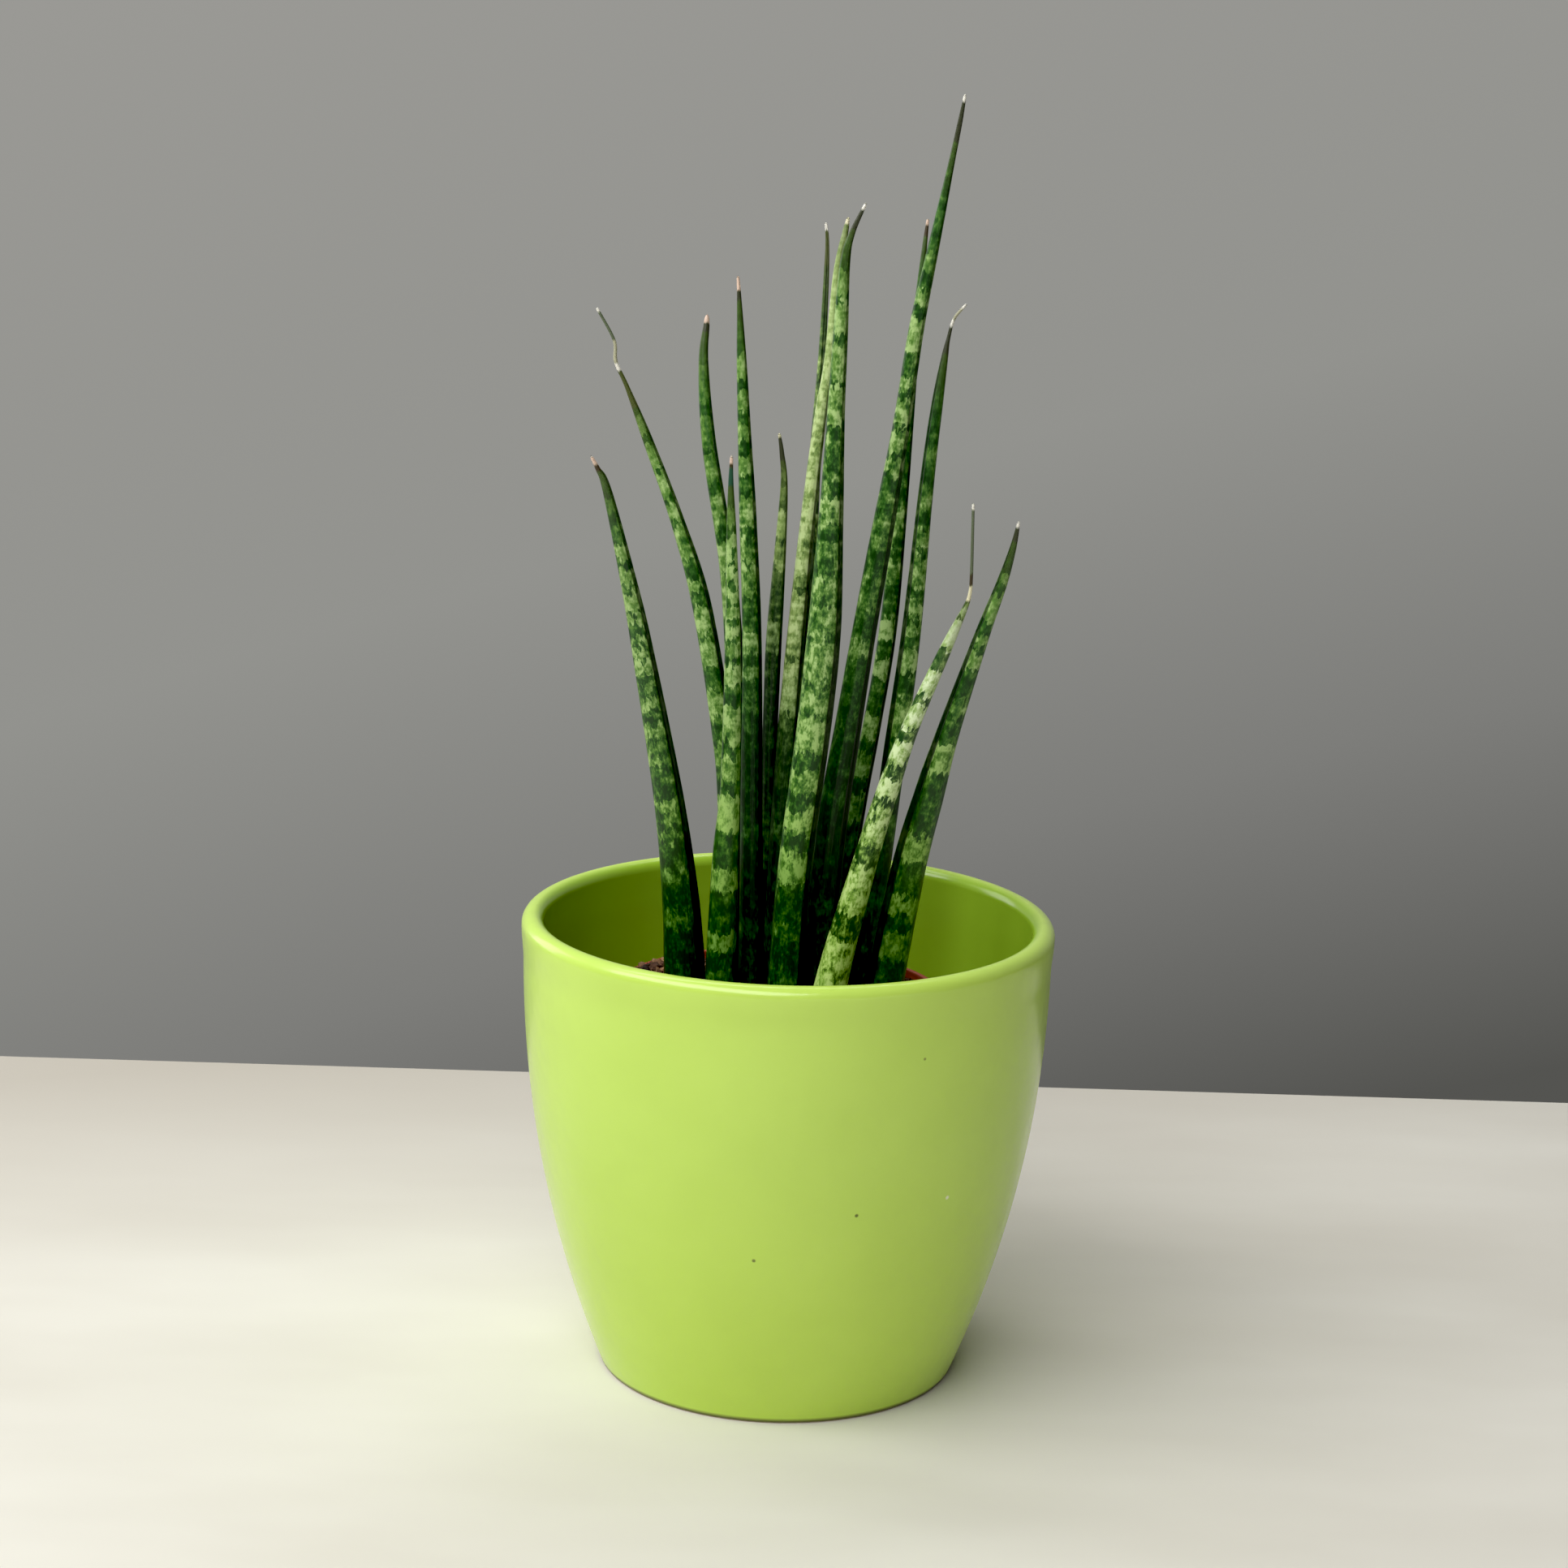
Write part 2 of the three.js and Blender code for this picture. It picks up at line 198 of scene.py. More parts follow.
def board_paint():
    material, tree, place = finish_of("board_paint")
    cloud = grain(tree, place, (160, 60, 60), detail=3)
    colour = ramp(tree, cloud, [(0.3, tint(213, 209, 198)), (0.7, tint(223, 220, 210))])
    aside, back, _ = axes(tree, place)
    far_left = calc(tree, "MULTIPLY_ADD", aside, FLOOR_SLANT, back)
    # Painted shade: the board darkens towards the far left, standing in for the light falling off there.
    colour = mixed(tree, fit(tree, far_left, *FLOOR_PAINTED_SHADE), colour, tint(190, 184, 172))
    surface(tree, Base_Color=colour, Roughness=0.75)
    return material


board = bpy.data.meshes.new("board")
corners = [(-FLOOR_SIDE, FLOOR_FRONT, 0), (FLOOR_SIDE, FLOOR_FRONT, 0),
           (FLOOR_SIDE, FLOOR_BACK, 0), (-FLOOR_SIDE, FLOOR_BACK, 0)]
board.from_pydata(corners, [], [(0, 1, 2, 3)])
stand_object("board", board, board_paint())

scene.world = bpy.data.worlds.new("surround")
scene.world.use_nodes = True
sky = scene.world.node_tree
sky.nodes.clear()
direction = put(sky, "ShaderNodeTexCoord").node.outputs["Generated"]
aside, behind, rise = axes(sky, direction)
slanted = calc(sky, "SUBTRACT", rise, calc(sky, "MULTIPLY", aside, WALL_SLANT))
wall_paint = [(0, tint(88, 88, 85)), (0.24, tint(127, 127, 124)), (0.5, tint(148, 148, 144)),
              (1, tint(156, 155, 151))]
wall = ramp(sky, fit(sky, slanted, WALL_LOW, WALL_HIGH), wall_paint)
above = calc(sky, "SUBTRACT", rise, calc(sky, "MULTIPLY", calc(sky, "MAXIMUM", behind, 0.0), WALL_REACH))
dark = calc(sky, "MAXIMUM", fit(sky, above, WALL_TOP, ROOM_DARK), fit(sky, behind, WALL_SIDE, ROOM_SIDE))
wall = mixed(sky, dark, wall, tint(34, 34, 34))
put(sky, "ShaderNodeOutputWorld", [put(sky, "ShaderNodeBackground", [wall, 1.0])])


def soft_light(name, azimuth, elevation, distance, width, height, power):
    """A rectangle of light that faces the plant. Azimuth 0 is the camera's side and -90 the left."""
    light = bpy.data.lights.new(name, "AREA")
    light.shape = "RECTANGLE"
    light.size = width
    light.size_y = height
    light.energy = power
    lamp = bpy.data.objects.new(name, light)
    turn = math.radians(azimuth)
    lift = math.radians(elevation)
    back = Vector((math.sin(turn) * math.cos(lift), -math.cos(turn) * math.cos(lift), math.sin(lift)))
    facing = back.to_track_quat("Z", "Y").to_matrix().to_4x4()
    lamp.matrix_world = Matrix.Translation(back * distance) @ facing
    lamp.visible_camera = False
    scene.collection.objects.link(lamp)


soft_light("window", azimuth=-44, elevation=51, distance=1.5, width=2.1, height=0.8, power=29)
soft_light("ceiling", azimuth=-158, elevation=66, distance=1.3, width=1.2, height=0.3, power=4.2)
soft_light("side_card", azimuth=-125, elevation=22, distance=1.2, width=0.5, height=0.6, power=2.0)
soft_light("low_card", azimuth=30, elevation=3, distance=1.3, width=1.5, height=0.14, power=0.85)


# Cover pot
# Slip-cast earthenware with a full belly and a rolled rim, dipped in a glossy lime green glaze.
# The ring that it stands on is wiped bare before firing, and the inside is glazed to the floor.
# Painted shade darkens the inside, the lower belly and the thin line at the foot.

RIM_RADIUS = 69.3
POT_HEIGHT = 121.6
LIP_THICKNESS = 5.8
NECK_RADIUS = 68.7
NECK_HEIGHT = 113
SWELL_FROM = 109
BASE_RADIUS = 46.9
BELLY_POWER = 2.1
POT_WALL = 5.5
POT_FLOOR = 7
FLOOR_FILLET = 9
FOOT_WIDTH = 4.5
FOOT_EDGE = 0.8
FOOT_RECESS = 1.4
POT_SIDES = 192
GLAZE_SPECKS = ((-73, 62, 0.5, (104, 118, 48)), (-95.6, 49.5, 0.5, (120, 134, 62)),
                (-60, 102, 0.4, (140, 158, 76)), (-50, 63, 0.55, (236, 240, 205)))
SPECK_ROOM = 19
SPECK_SIZE = 0.03
DARK_SPECKS = 0.86
PALE_SPECKS = 0.04
INSIDE_PAINTED_SHADE = (-10, -45)
PEEL_SIZES = (6, 30)
THIN_GLAZE_AND_SHADE = (1.6, 0.7)
CLAY_BARE = (0.3, 0.15)
LOW_BELLY = 75
LOW_BELLY_SHADE_TINGE = (1, 1, 0.78, 1)
SHARP_EDGE = math.radians(40)


def spaced(start, end, steps):
    return [start + (end - start) * i / steps for i in range(steps + 1)]


def arc(centre_radius, centre_height, radius, start, end, steps):
    """Points of an outline on a circle, from one angle to another in degrees."""
    angles = [math.radians(angle) for angle in spaced(start, end, steps)]
    return [(centre_radius + radius * math.cos(a), centre_height + radius * math.sin(a)) for a in angles]


def turned(name, outline, sides, centre_x=0):
    """A closed mesh turned from (radius, height) points in millimetres, up outside and down inside."""
    shape = bmesh.new()
    rings = []
    for radius, height in outline:
        count = sides if radius > 0 else 1
        turns = [2 * math.pi * i / count for i in range(count)]
        spots = [(centre_x * MM + radius * math.cos(a) * MM, radius * math.sin(a) * MM, height * MM)
                 for a in turns]
        rings.append([shape.verts.new(spot) for spot in spots])
    for lower, upper in zip(rings, rings[1:]):
        for i in range(sides):
            below = [lower[j % len(lower)] for j in (i, (i + 1) % sides)]
            above = [upper[j % len(upper)] for j in ((i + 1) % sides, i)]
            shape.faces.new(dict.fromkeys(below + above))
    mesh = bpy.data.meshes.new(name)
    shape.to_mesh(mesh)
    shape.free()
    mesh.shade_smooth()
    mesh.set_sharp_from_angle(angle=SHARP_EDGE)
    return mesh


def belly_radius(height):
    below_neck = max(0, 1 - height / NECK_HEIGHT)
    return NECK_RADIUS - (NECK_RADIUS - BASE_RADIUS) * below_neck ** BELLY_POWER


def swelling_radius(height):
    """The wall just under the lip, where it swells smoothly out to the rim."""
    up = (height - SWELL_FROM) / (POT_HEIGHT - LIP_THICKNESS / 2 - SWELL_FROM)
    return belly_radius(height) + (RIM_RADIUS - NECK_RADIUS) * (0.5 - 0.5 * math.cos(math.pi * up))


def cover_pot_outline():
    lip = LIP_THICKNESS / 2
    foot_inside = BASE_RADIUS - FOOT_WIDTH
    corner = POT_FLOOR + FLOOR_FILLET
    floor_edge = belly_radius(corner) - POT_WALL
    foot_corner = belly_radius(FOOT_EDGE) - FOOT_EDGE
    return [
        (0, FOOT_RECESS),
        *arc(foot_inside - FOOT_RECESS, FOOT_RECESS / 2, FOOT_RECESS / 2, 90, 0, 4),
        (foot_inside - FOOT_RECESS / 4, 0),
        *arc(foot_corner, FOOT_EDGE, FOOT_EDGE, -90, 0, 5),
        *[(belly_radius(height), height) for height in spaced(2, SWELL_FROM - 1, 54)],
        *[(swelling_radius(height), height) for height in spaced(SWELL_FROM, POT_HEIGHT - lip - 0.5, 10)],
        *arc(RIM_RADIUS - lip, POT_HEIGHT - lip, lip, 0, 186, 26),
        *[(belly_radius(height) - POT_WALL, height) for height in spaced(NECK_HEIGHT - 1, corner, 40)],
        *arc(floor_edge - FLOOR_FILLET, corner, FLOOR_FILLET, -8, -90, 8),
        (0, POT_FLOOR),
    ]


def lime_glaze():
    material, tree, place = finish_of("lime_glaze")
    height = axes(tree, place)["Z"]
    cloud = grain(tree, place, (38, 38, 30), detail=3)
    colour = ramp(tree, cloud, [(0.3, tint(190, 221, 98)), (0.7, tint(195, 226, 103))])
    facing = put(tree, "ShaderNodeNewGeometry").node.outputs["Normal"]
    outward = vector(tree, "DOT_PRODUCT", vector(tree, "MULTIPLY", place, (1, 1, 0)), facing)
    inside = fit(tree, outward, *[reach * MM for reach in INSIDE_PAINTED_SHADE])
    # Painted shade: the inside of the pot gets a darker, greener glaze colour than the outside, standing in
    # for the shade inside it.
    colour = mixed(tree, inside, colour, tint(156, 194, 60))
    # Painted shade: the glaze's blue is cut towards the foot, standing in for the deeper colour of the lower
    # belly in shade.
    colour = mixed(tree, fit(tree, height, LOW_BELLY * MM, 0), colour, LOW_BELLY_SHADE_TINGE, "MULTIPLY")
    cells = {"Vector": place, "Scale": 1 / (SPECK_ROOM * MM), "Randomness": 1.0}
    near = put(tree, "ShaderNodeTexVoronoi", cells)
    chance = put(tree, "ShaderNodeSeparateColor", [near.node.outputs["Color"]])
    largest = calc(tree, "MULTIPLY", chance.node.outputs["Green"], SPECK_SIZE)
    spot = calc(tree, "LESS_THAN", near, largest)
    dark_spot = calc(tree, "MULTIPLY", spot, calc(tree, "GREATER_THAN", chance, DARK_SPECKS))
    pale_spot = calc(tree, "MULTIPLY", spot, calc(tree, "LESS_THAN", chance, PALE_SPECKS))
    colour = mixed(tree, dark_spot, colour, tint(92, 104, 40))
    colour = mixed(tree, pale_spot, colour, tint(236, 240, 205))
    for bearing, speck_height, size, shade in GLAZE_SPECKS:
        turn = math.radians(bearing)
        radius = belly_radius(speck_height)
        centre = Vector((radius * math.cos(turn), radius * math.sin(turn), speck_height)) * MM
        away = vector(tree, "DISTANCE", place, centre)
        colour = mixed(tree, fit(tree, away, 1.2 * size * MM, 0.6 * size * MM), colour, tint(*shade))
    # The dark olive line along the foot is partly thinner glaze and partly painted shade where the pot meets
    # the board.
    thin_glaze_and_shade, bare = (fit(tree, height, high * MM, low * MM) for high, low in (THIN_GLAZE_AND_SHADE, CLAY_BARE))
    colour = mixed(tree, thin_glaze_and_shade, colour, tint(98, 104, 48))
    grit = grain(tree, place, (0.8, 0.8, 0.8))
    clay = ramp(tree, grit, [(0.3, tint(206, 184, 150)), (0.7, tint(226, 208, 178))])
    colour = mixed(tree, bare, colour, clay)
    rough = fit(tree, bare, 0, 1, 0.2, 0.85)
    fine, broad = (grain(tree, place, (size, size, size), detail=1) for size in PEEL_SIZES)
    peel = calc(tree, "ADD", fine, broad)
    surface(tree, Base_Color=colour, Roughness=rough, IOR=1.5, Normal=relief(tree, peel, 0.12))
    return material


pot_mesh = turned("glazed_cover_pot", cover_pot_outline(), POT_SIDES)
cover_pot = stand_object("glazed_cover_pot", pot_mesh, lime_glaze())
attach(cover_pot, "root")
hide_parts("cover_pot")


# Nursery pot
# The thin brick-red plastic pot that the plant was sold in, moulded in one piece with a collar.
# It stands loose on the cover pot's floor and drains through six holes in its raised floor.

INNER_X = -2
INNER_FOOT = 7.3
COLLAR_RADIUS = 43.5
COLLAR_TOP = 100.5
COLLAR_HEIGHT = 9
COLLAR_STEP = 1.6
COLLAR_EDGE = 0.4
PLASTIC = 1.2
INNER_BASE_RADIUS = 31
DRAIN_STEP = 2
DRAIN_RING = 5
DRAIN_RADIUS = 3.5
DRAIN_CIRCLE = 17
DRAIN_HOLES = 6
DRILL_SIDES = 32
DRILL_DEPTH = 8
TOOL_LINES = 260
INNER_SIDES = 144
COLLAR_UNDER = COLLAR_TOP - COLLAR_HEIGHT
WALL_TOP_RADIUS = COLLAR_RADIUS - COLLAR_STEP
INNER_FLOOR = INNER_FOOT + DRAIN_STEP + PLASTIC


def plastic_outer_radius(height):
    up = (height - INNER_FOOT) / (COLLAR_UNDER - INNER_FOOT)
    return INNER_BASE_RADIUS + (WALL_TOP_RADIUS - INNER_BASE_RADIUS) * up


def nursery_pot_outline():
    step_radius = INNER_BASE_RADIUS - DRAIN_RING
    edge = COLLAR_EDGE
    return [
        (0, INNER_FOOT + DRAIN_STEP),
        (step_radius, INNER_FOOT + DRAIN_STEP),
        (step_radius + edge, INNER_FOOT),
        *arc(INNER_BASE_RADIUS - edge, INNER_FOOT + edge, edge, -90, 0, 3),
        *[(plastic_outer_radius(height), height)
          for height in spaced(INNER_FOOT + 2, COLLAR_UNDER - 0.5, 12)],
        (WALL_TOP_RADIUS + edge, COLLAR_UNDER),
        *arc(COLLAR_RADIUS - edge, COLLAR_UNDER + edge, edge, -90, 0, 3),
        *arc(COLLAR_RADIUS - edge, COLLAR_TOP - edge, edge, 0, 90, 4),
        *arc(COLLAR_RADIUS - PLASTIC + edge, COLLAR_TOP - edge, edge, 90, 180, 4),
        (COLLAR_RADIUS - PLASTIC, COLLAR_UNDER + PLASTIC + edge),
        (WALL_TOP_RADIUS - PLASTIC, COLLAR_UNDER + PLASTIC - edge / 2),
        (plastic_outer_radius(INNER_FLOOR) - PLASTIC, INNER_FLOOR),
        (0, INNER_FLOOR),
    ]


def brick_plastic():
    material, tree, place = finish_of("brick_plastic")
    scuff = grain(tree, place, (9, 9, 2.5), detail=4, roughness=0.6)
    worn = [(0.32, tint(146, 60, 42)), (0.6, tint(170, 76, 54)), (0.75, tint(188, 104, 82))]
    lines = {"Vector": place, "Scale": TOOL_LINES, "Distortion": 0.4}
    lines = put(tree, "ShaderNodeTexWave", lines, bands_direction="Z")
    rough = fit(tree, scuff, 0.3, 0.7, 0.38, 0.58)
    surface(tree, Base_Color=ramp(tree, scuff, worn), Roughness=rough, Normal=relief(tree, lines, 0.03))
    return material


def new_shape(name, **inputs):
    """A Geometry Nodes tree with named inputs, and its input node. Its geometry comes in first."""
    tree = bpy.data.node_groups.new(name, "GeometryNodeTree")
    tree.is_modifier = True
    tree.interface.new_socket("Geometry", in_out="OUTPUT", socket_type="NodeSocketGeometry")
    tree.interface.new_socket("Geometry", in_out="INPUT", socket_type="NodeSocketGeometry")
    for label, kind in inputs.items():
        tree.interface.new_socket(label.replace("_", " "), in_out="INPUT", socket_type="NodeSocket" + kind)
    return tree, tree.nodes.new("NodeGroupInput").outputs


def close_shape(tree, geometry, material):
    """Ends a Geometry Nodes tree in Realize Instances and Set Material."""
    real = put(tree, "GeometryNodeRealizeInstances", [geometry])
    dressed = put(tree, "GeometryNodeSetMaterial", {"Geometry": real, "Material": material})
    put(tree, "NodeGroupOutput", [dressed])


def shaped(name, source, tree, **inputs):
    """Runs a tree on a mesh and gives the result as a new plain mesh, with the modifier gone."""
    host = stand_object(name + "_host", source)
    modifier = host.modifiers.new("shape", "NODES")
    modifier.node_group = tree
    for item in tree.interface.items_tree:
        label = item.name.replace(" ", "_")
        if item.in_out == "INPUT" and label in inputs:
            modifier[item.identifier] = inputs[label]
    result = bpy.data.meshes.new_from_object(host.evaluated_get(bpy.context.evaluated_depsgraph_get()))
    result.name = name
    host.modifiers.remove(modifier)
    bpy.data.objects.remove(host)
    return result


def drain_shape():
    """Drills a circle of round holes through whatever comes in."""
    tree, given = new_shape("drain_holes", Holes="Int", Circle_Radius="Float", Hole_Radius="Float",
                            Depth="Float", Centre="Vector", Material="Material")
    ring = put(tree, "GeometryNodeMeshCircle", {"Vertices": given["Holes"], "Radius": given["Circle Radius"]})
    drill = {"Vertices": DRILL_SIDES, "Radius": given["Hole Radius"], "Depth": given["Depth"]}
    drill = put(tree, "GeometryNodeMeshCylinder", drill)
    drills = put(tree, "GeometryNodeInstanceOnPoints", {"Points": ring, "Instance": drill})
    drills = put(tree, "GeometryNodeTransform", {"Geometry": drills, "Translation": given["Centre"]})
    drills = put(tree, "GeometryNodeRealizeInstances", [drills])
    cut = put(tree, "GeometryNodeMeshBoolean", [given["Geometry"], drills],
              operation="DIFFERENCE", solver="EXACT")
    close_shape(tree, cut, given["Material"])
    return tree


nursery_mesh = shaped(
    "plastic_nursery_pot",
    turned("plastic_blank", nursery_pot_outline(), INNER_SIDES, INNER_X),
    drain_shape(),
    Holes=DRAIN_HOLES,
    Circle_Radius=DRAIN_CIRCLE * MM,
    Hole_Radius=DRAIN_RADIUS * MM,
    Depth=DRILL_DEPTH * MM,
    Centre=(INNER_X * MM, 0, INNER_FLOOR * MM),
    Material=brick_plastic(),
)
nursery_pot = stand_object("plastic_nursery_pot", nursery_mesh)
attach(nursery_pot, "root")
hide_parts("nursery_pot")


# Leaves
# Fourteen stiff, fleshy leaves of a fernwood snake plant, each grown as one nearly round spike with a
# channel down one side. They are banded in dark and pale green, and most end in a dry, papery point.

CHANNEL_DEPTH = 0.26
CHANNEL_HALF_ANGLE = math.radians(24)
LEAF_SIDES = 48
STEPS_PER_POINT = 26
ROUND_STEPS = 5
BLUNT_END = 0.05
LUMPS = 0.05
LUMP_SIZE = (4, 4, 13)
RIBS = 0.035
RIB_SIZE = (1.1, 1.1, 60)
BANDS_A_RAMP = 12
EDGE_ROOM = 2
BLOCK = (1.2, 1.2, 2.1)
BLOCK_WARP = 0.9
WARP_SIZE = (1.3, 1.3, 2.6)
TOOTH_SIZE = (0.7, 0.7, 4)
TEETH = 0.6
JUMPS = 0.4
SWAY_SIZE = (5, 5, 10)
SWAY = 3
FLECK_SIZE = (1.9, 1.9, 3)
FLECKS = 1.15
SPECKLE_SIZE = (0.6, 0.6, 1.1)
SPECKLES = 0.5
RING_SIZE = (6, 6, 1.5)
STREAK_SIZE = (0.4, 0.4, 14)
STREAKS = 0.2
BLOTCHES = 0.16
PORE_SIZE = (0.7, 0.7, 2)
PORES = 0.7
BAND_TONE = 0.46
SKIN_TONE = 0.27
BLOCK_HOLD = 0.6
MARK_EDGE = 0.35
MARK_FRAY = 1.5
PAINTED_SHADE_REACH = 18
PAINTED_SHADE_DARKENING = 0.12
PAINTED_SHADE_TINGE = (0.33, 0.5, 0.55, 1)
FOOT_SHADE_TINGE = (0.78, 0.92, 0.42, 1)
FOOT_SHADE_HEIGHTS = (185, 125)
AGED_REACH = 16
AGED_SHARE = 0.6
CALM_REACH = 55
CALM = 0.35
RINGED_ALONG = (150, 230)
RINGED = (0.2, 0.8)
GROOVE_SHADE_ALONG = (190, 285)
GROOVE_SHADE = (0.92, 0.4)
CHANNEL_SHADE_GREEN = tint(10, 28, 10)
BONE = tint(228, 224, 212)
PINK = tint(216, 188, 168)
CREAM = tint(218, 212, 176)
SMOKE = tint(58, 62, 42)
BROWN = tint(64, 54, 34)
OLIVE = tint(76, 84, 42)
THREAD = tint(92, 102, 78)
STRAW = tint(168, 166, 138)
TEAL = tint(40, 78, 58)


def smooth_line(points):
    """Points on an even Catmull-Rom curve through the given ones, with the last one rounded off."""
    through = [np.array(point, float) for point in points]
    ends = [2 * through[0] - through[1], *through, 2 * through[-1] - through[-2]]
    line = []
    for a, b, c, d in zip(ends, ends[1:], ends[2:], ends[3:]):
        for t in spaced(0, 1, STEPS_PER_POINT)[:-1]:
            line.append(0.5 * (2 * b + (c - a) * t + (2 * a - 5 * b + 4 * c - d) * t * t
                               + (3 * b - a - 3 * c + d) * t ** 3))
    tip = through[-1]
    forward = (tip - line[-1]) / np.linalg.norm((tip - line[-1])[:3])
    radius = tip[3]
    for angle in spaced(0, math.pi / 2, ROUND_STEPS):
        place = tip + forward * radius * (math.sin(angle) - 1)
        place[3] = radius * max(math.cos(angle), BLUNT_END)
        line.append(place)
    return np.array(line) * MM


def scaled(tree, value, share):
    return vector(tree, "SCALE", value, share)


def attribute(tree, name, kind="FLOAT"):
    """A named attribute of the mesh or line that a node works on."""
    return put(tree, "GeometryNodeInputNamedAttribute", [name], data_type=kind)


def stored(tree, shape, name, value, kind="FLOAT", domain="POINT"):
    """The shape with a value stored on it as a named attribute."""
    inputs = {"Geometry": shape, "Name": name, "Value": value}
    return put(tree, "GeometryNodeStoreNamedAttribute", inputs, data_type=kind, domain=domain)


def spike_shape():
    """Sweeps a round, channelled section along a line whose points carry a half width."""
    tree, given = new_shape("leaf_spike", Sides="Int", Channel_Facing="Vector", Channel_Depth="Float",
                            Channel_Half_Angle="Float", Wider="Float", Lumps="Float", Ribs="Float",
                            Material="Material")
    line = put(tree, "GeometryNodeMeshToCurve", [given["Geometry"]])
    tangent = put(tree, "GeometryNodeInputTangent")
    facing = given["Channel Facing"]
    lean = scaled(tree, tangent, vector(tree, "DOT_PRODUCT", facing, tangent))
    across = vector(tree, "NORMALIZE", vector(tree, "SUBTRACT", facing, lean))
    line = put(tree, "GeometryNodeSetCurveNormal", {"Curve": line, "Normal": across}, mode="FREE")
    half_width = calc(tree, "ADD", attribute(tree, "half_width"), given["Wider"])
    length = put(tree, "GeometryNodeSplineParameter").node.outputs["Length"]
    line = stored(tree, stored(tree, line, "along", length), "half_width", half_width)

    ring = put(tree, "GeometryNodeCurvePrimitiveCircle", {"Resolution": given["Sides"], "Radius": 1.0})
    spot = put(tree, "GeometryNodeInputPosition")
    x, y = axes(tree, spot)[:2]
    angle = calc(tree, "ABSOLUTE", calc(tree, "ARCTAN2", y, x))
    share = calc(tree, "MINIMUM", calc(tree, "DIVIDE", angle, given["Channel Half Angle"]), 1.0)
    wave = calc(tree, "COSINE", calc(tree, "MULTIPLY", share, math.pi))
    hollow = calc(tree, "MULTIPLY_ADD", wave, 0.5, 0.5)
    inset = calc(tree, "SUBTRACT", 1.0, calc(tree, "MULTIPLY", hollow, given["Channel Depth"]))
    section = scaled(tree, spot, inset)
    ring = put(tree, "GeometryNodeSetPosition", {"Geometry": ring, "Position": section})
    ring = stored(tree, ring, "section", section, "FLOAT_VECTOR")

    wide = attribute(tree, "half_width")
    swept = {"Curve": line, "Profile Curve": ring, "Scale": wide, "Fill Caps": True}
    skin = put(tree, "GeometryNodeCurveToMesh", swept)
    x, y = axes(tree, scaled(tree, attribute(tree, "section", "FLOAT_VECTOR"), wide))[:2]
    grown = put(tree, "ShaderNodeCombineXYZ", [x, y, attribute(tree, "along")])
    skin = stored(tree, skin, "grown", grown, "FLOAT_VECTOR")

    lumps = swing(tree, grain(tree, grown, LUMP_SIZE, detail=1), given["Lumps"])
    ribs = swing(tree, grain(tree, grown, RIB_SIZE, detail=0), given["Ribs"])
    rise = calc(tree, "MULTIPLY", calc(tree, "ADD", lumps, ribs), wide)
    offset = scaled(tree, put(tree, "GeometryNodeInputNormal"), rise)
    skin = put(tree, "GeometryNodeSetPosition", {"Geometry": skin, "Offset": offset})
    for name in ("section", "along", "half_width"):
        skin = put(tree, "GeometryNodeRemoveAttribute", {"Geometry": skin, "Name": name})
    skin = put(tree, "GeometryNodeSetShadeSmooth", [skin])
    close_shape(tree, skin, given["Material"])
    return tree


leaf_spike = spike_shape()


def spike(name, line, channel, material=None, sides=LEAF_SIDES, wider=0.0, lumps=LUMPS, ribs=RIBS):
    """A spike along a line of (x, y, z, half width) points in metres, its channel facing a bearing."""
    path = bpy.data.meshes.new(name + "_path")
    joins = [(i, i + 1) for i in range(len(line) - 1)]
    path.from_pydata([tuple(point[:3]) for point in line], joins, [])
    path.attributes.new("half_width", "FLOAT", "POINT").data.foreach_set("value", line[:, 3])
    facing = math.radians(channel)
    return shaped(name, path, leaf_spike, Sides=sides, Wider=wider * MM, Lumps=lumps, Ribs=ribs,
                  Channel_Facing=(math.cos(facing), math.sin(facing), 0), Channel_Depth=CHANNEL_DEPTH,
                  Channel_Half_Angle=CHANNEL_HALF_ANGLE, Material=material)


def banding(tree, at, bands, length_at):
    """How pale the skin is at a length: each band's own paleness, and nothing between the bands."""
    pale = 0.0
    for first in range(0, len(bands), BANDS_A_RAMP):
        chosen = [(length_at(low), length_at(high), shade)
                  for low, high, shade in bands[first:first + BANDS_A_RAMP]]
        start = chosen[0][0] - EDGE_ROOM * MM
        end = chosen[-1][1] + EDGE_ROOM * MM
        stops = {0: 0.0}
        for low, high, shade in chosen:
            stops[(low - start) / (end - start)] = shade
            stops[(high - start) / (end - start)] = 0.0
        stops = [(place, (shade, shade, shade, 1)) for place, shade in sorted(stops.items())]
        pale = calc(tree, "ADD", pale, ramp(tree, fit(tree, at, start, end), stops, "CONSTANT"))
    return pale


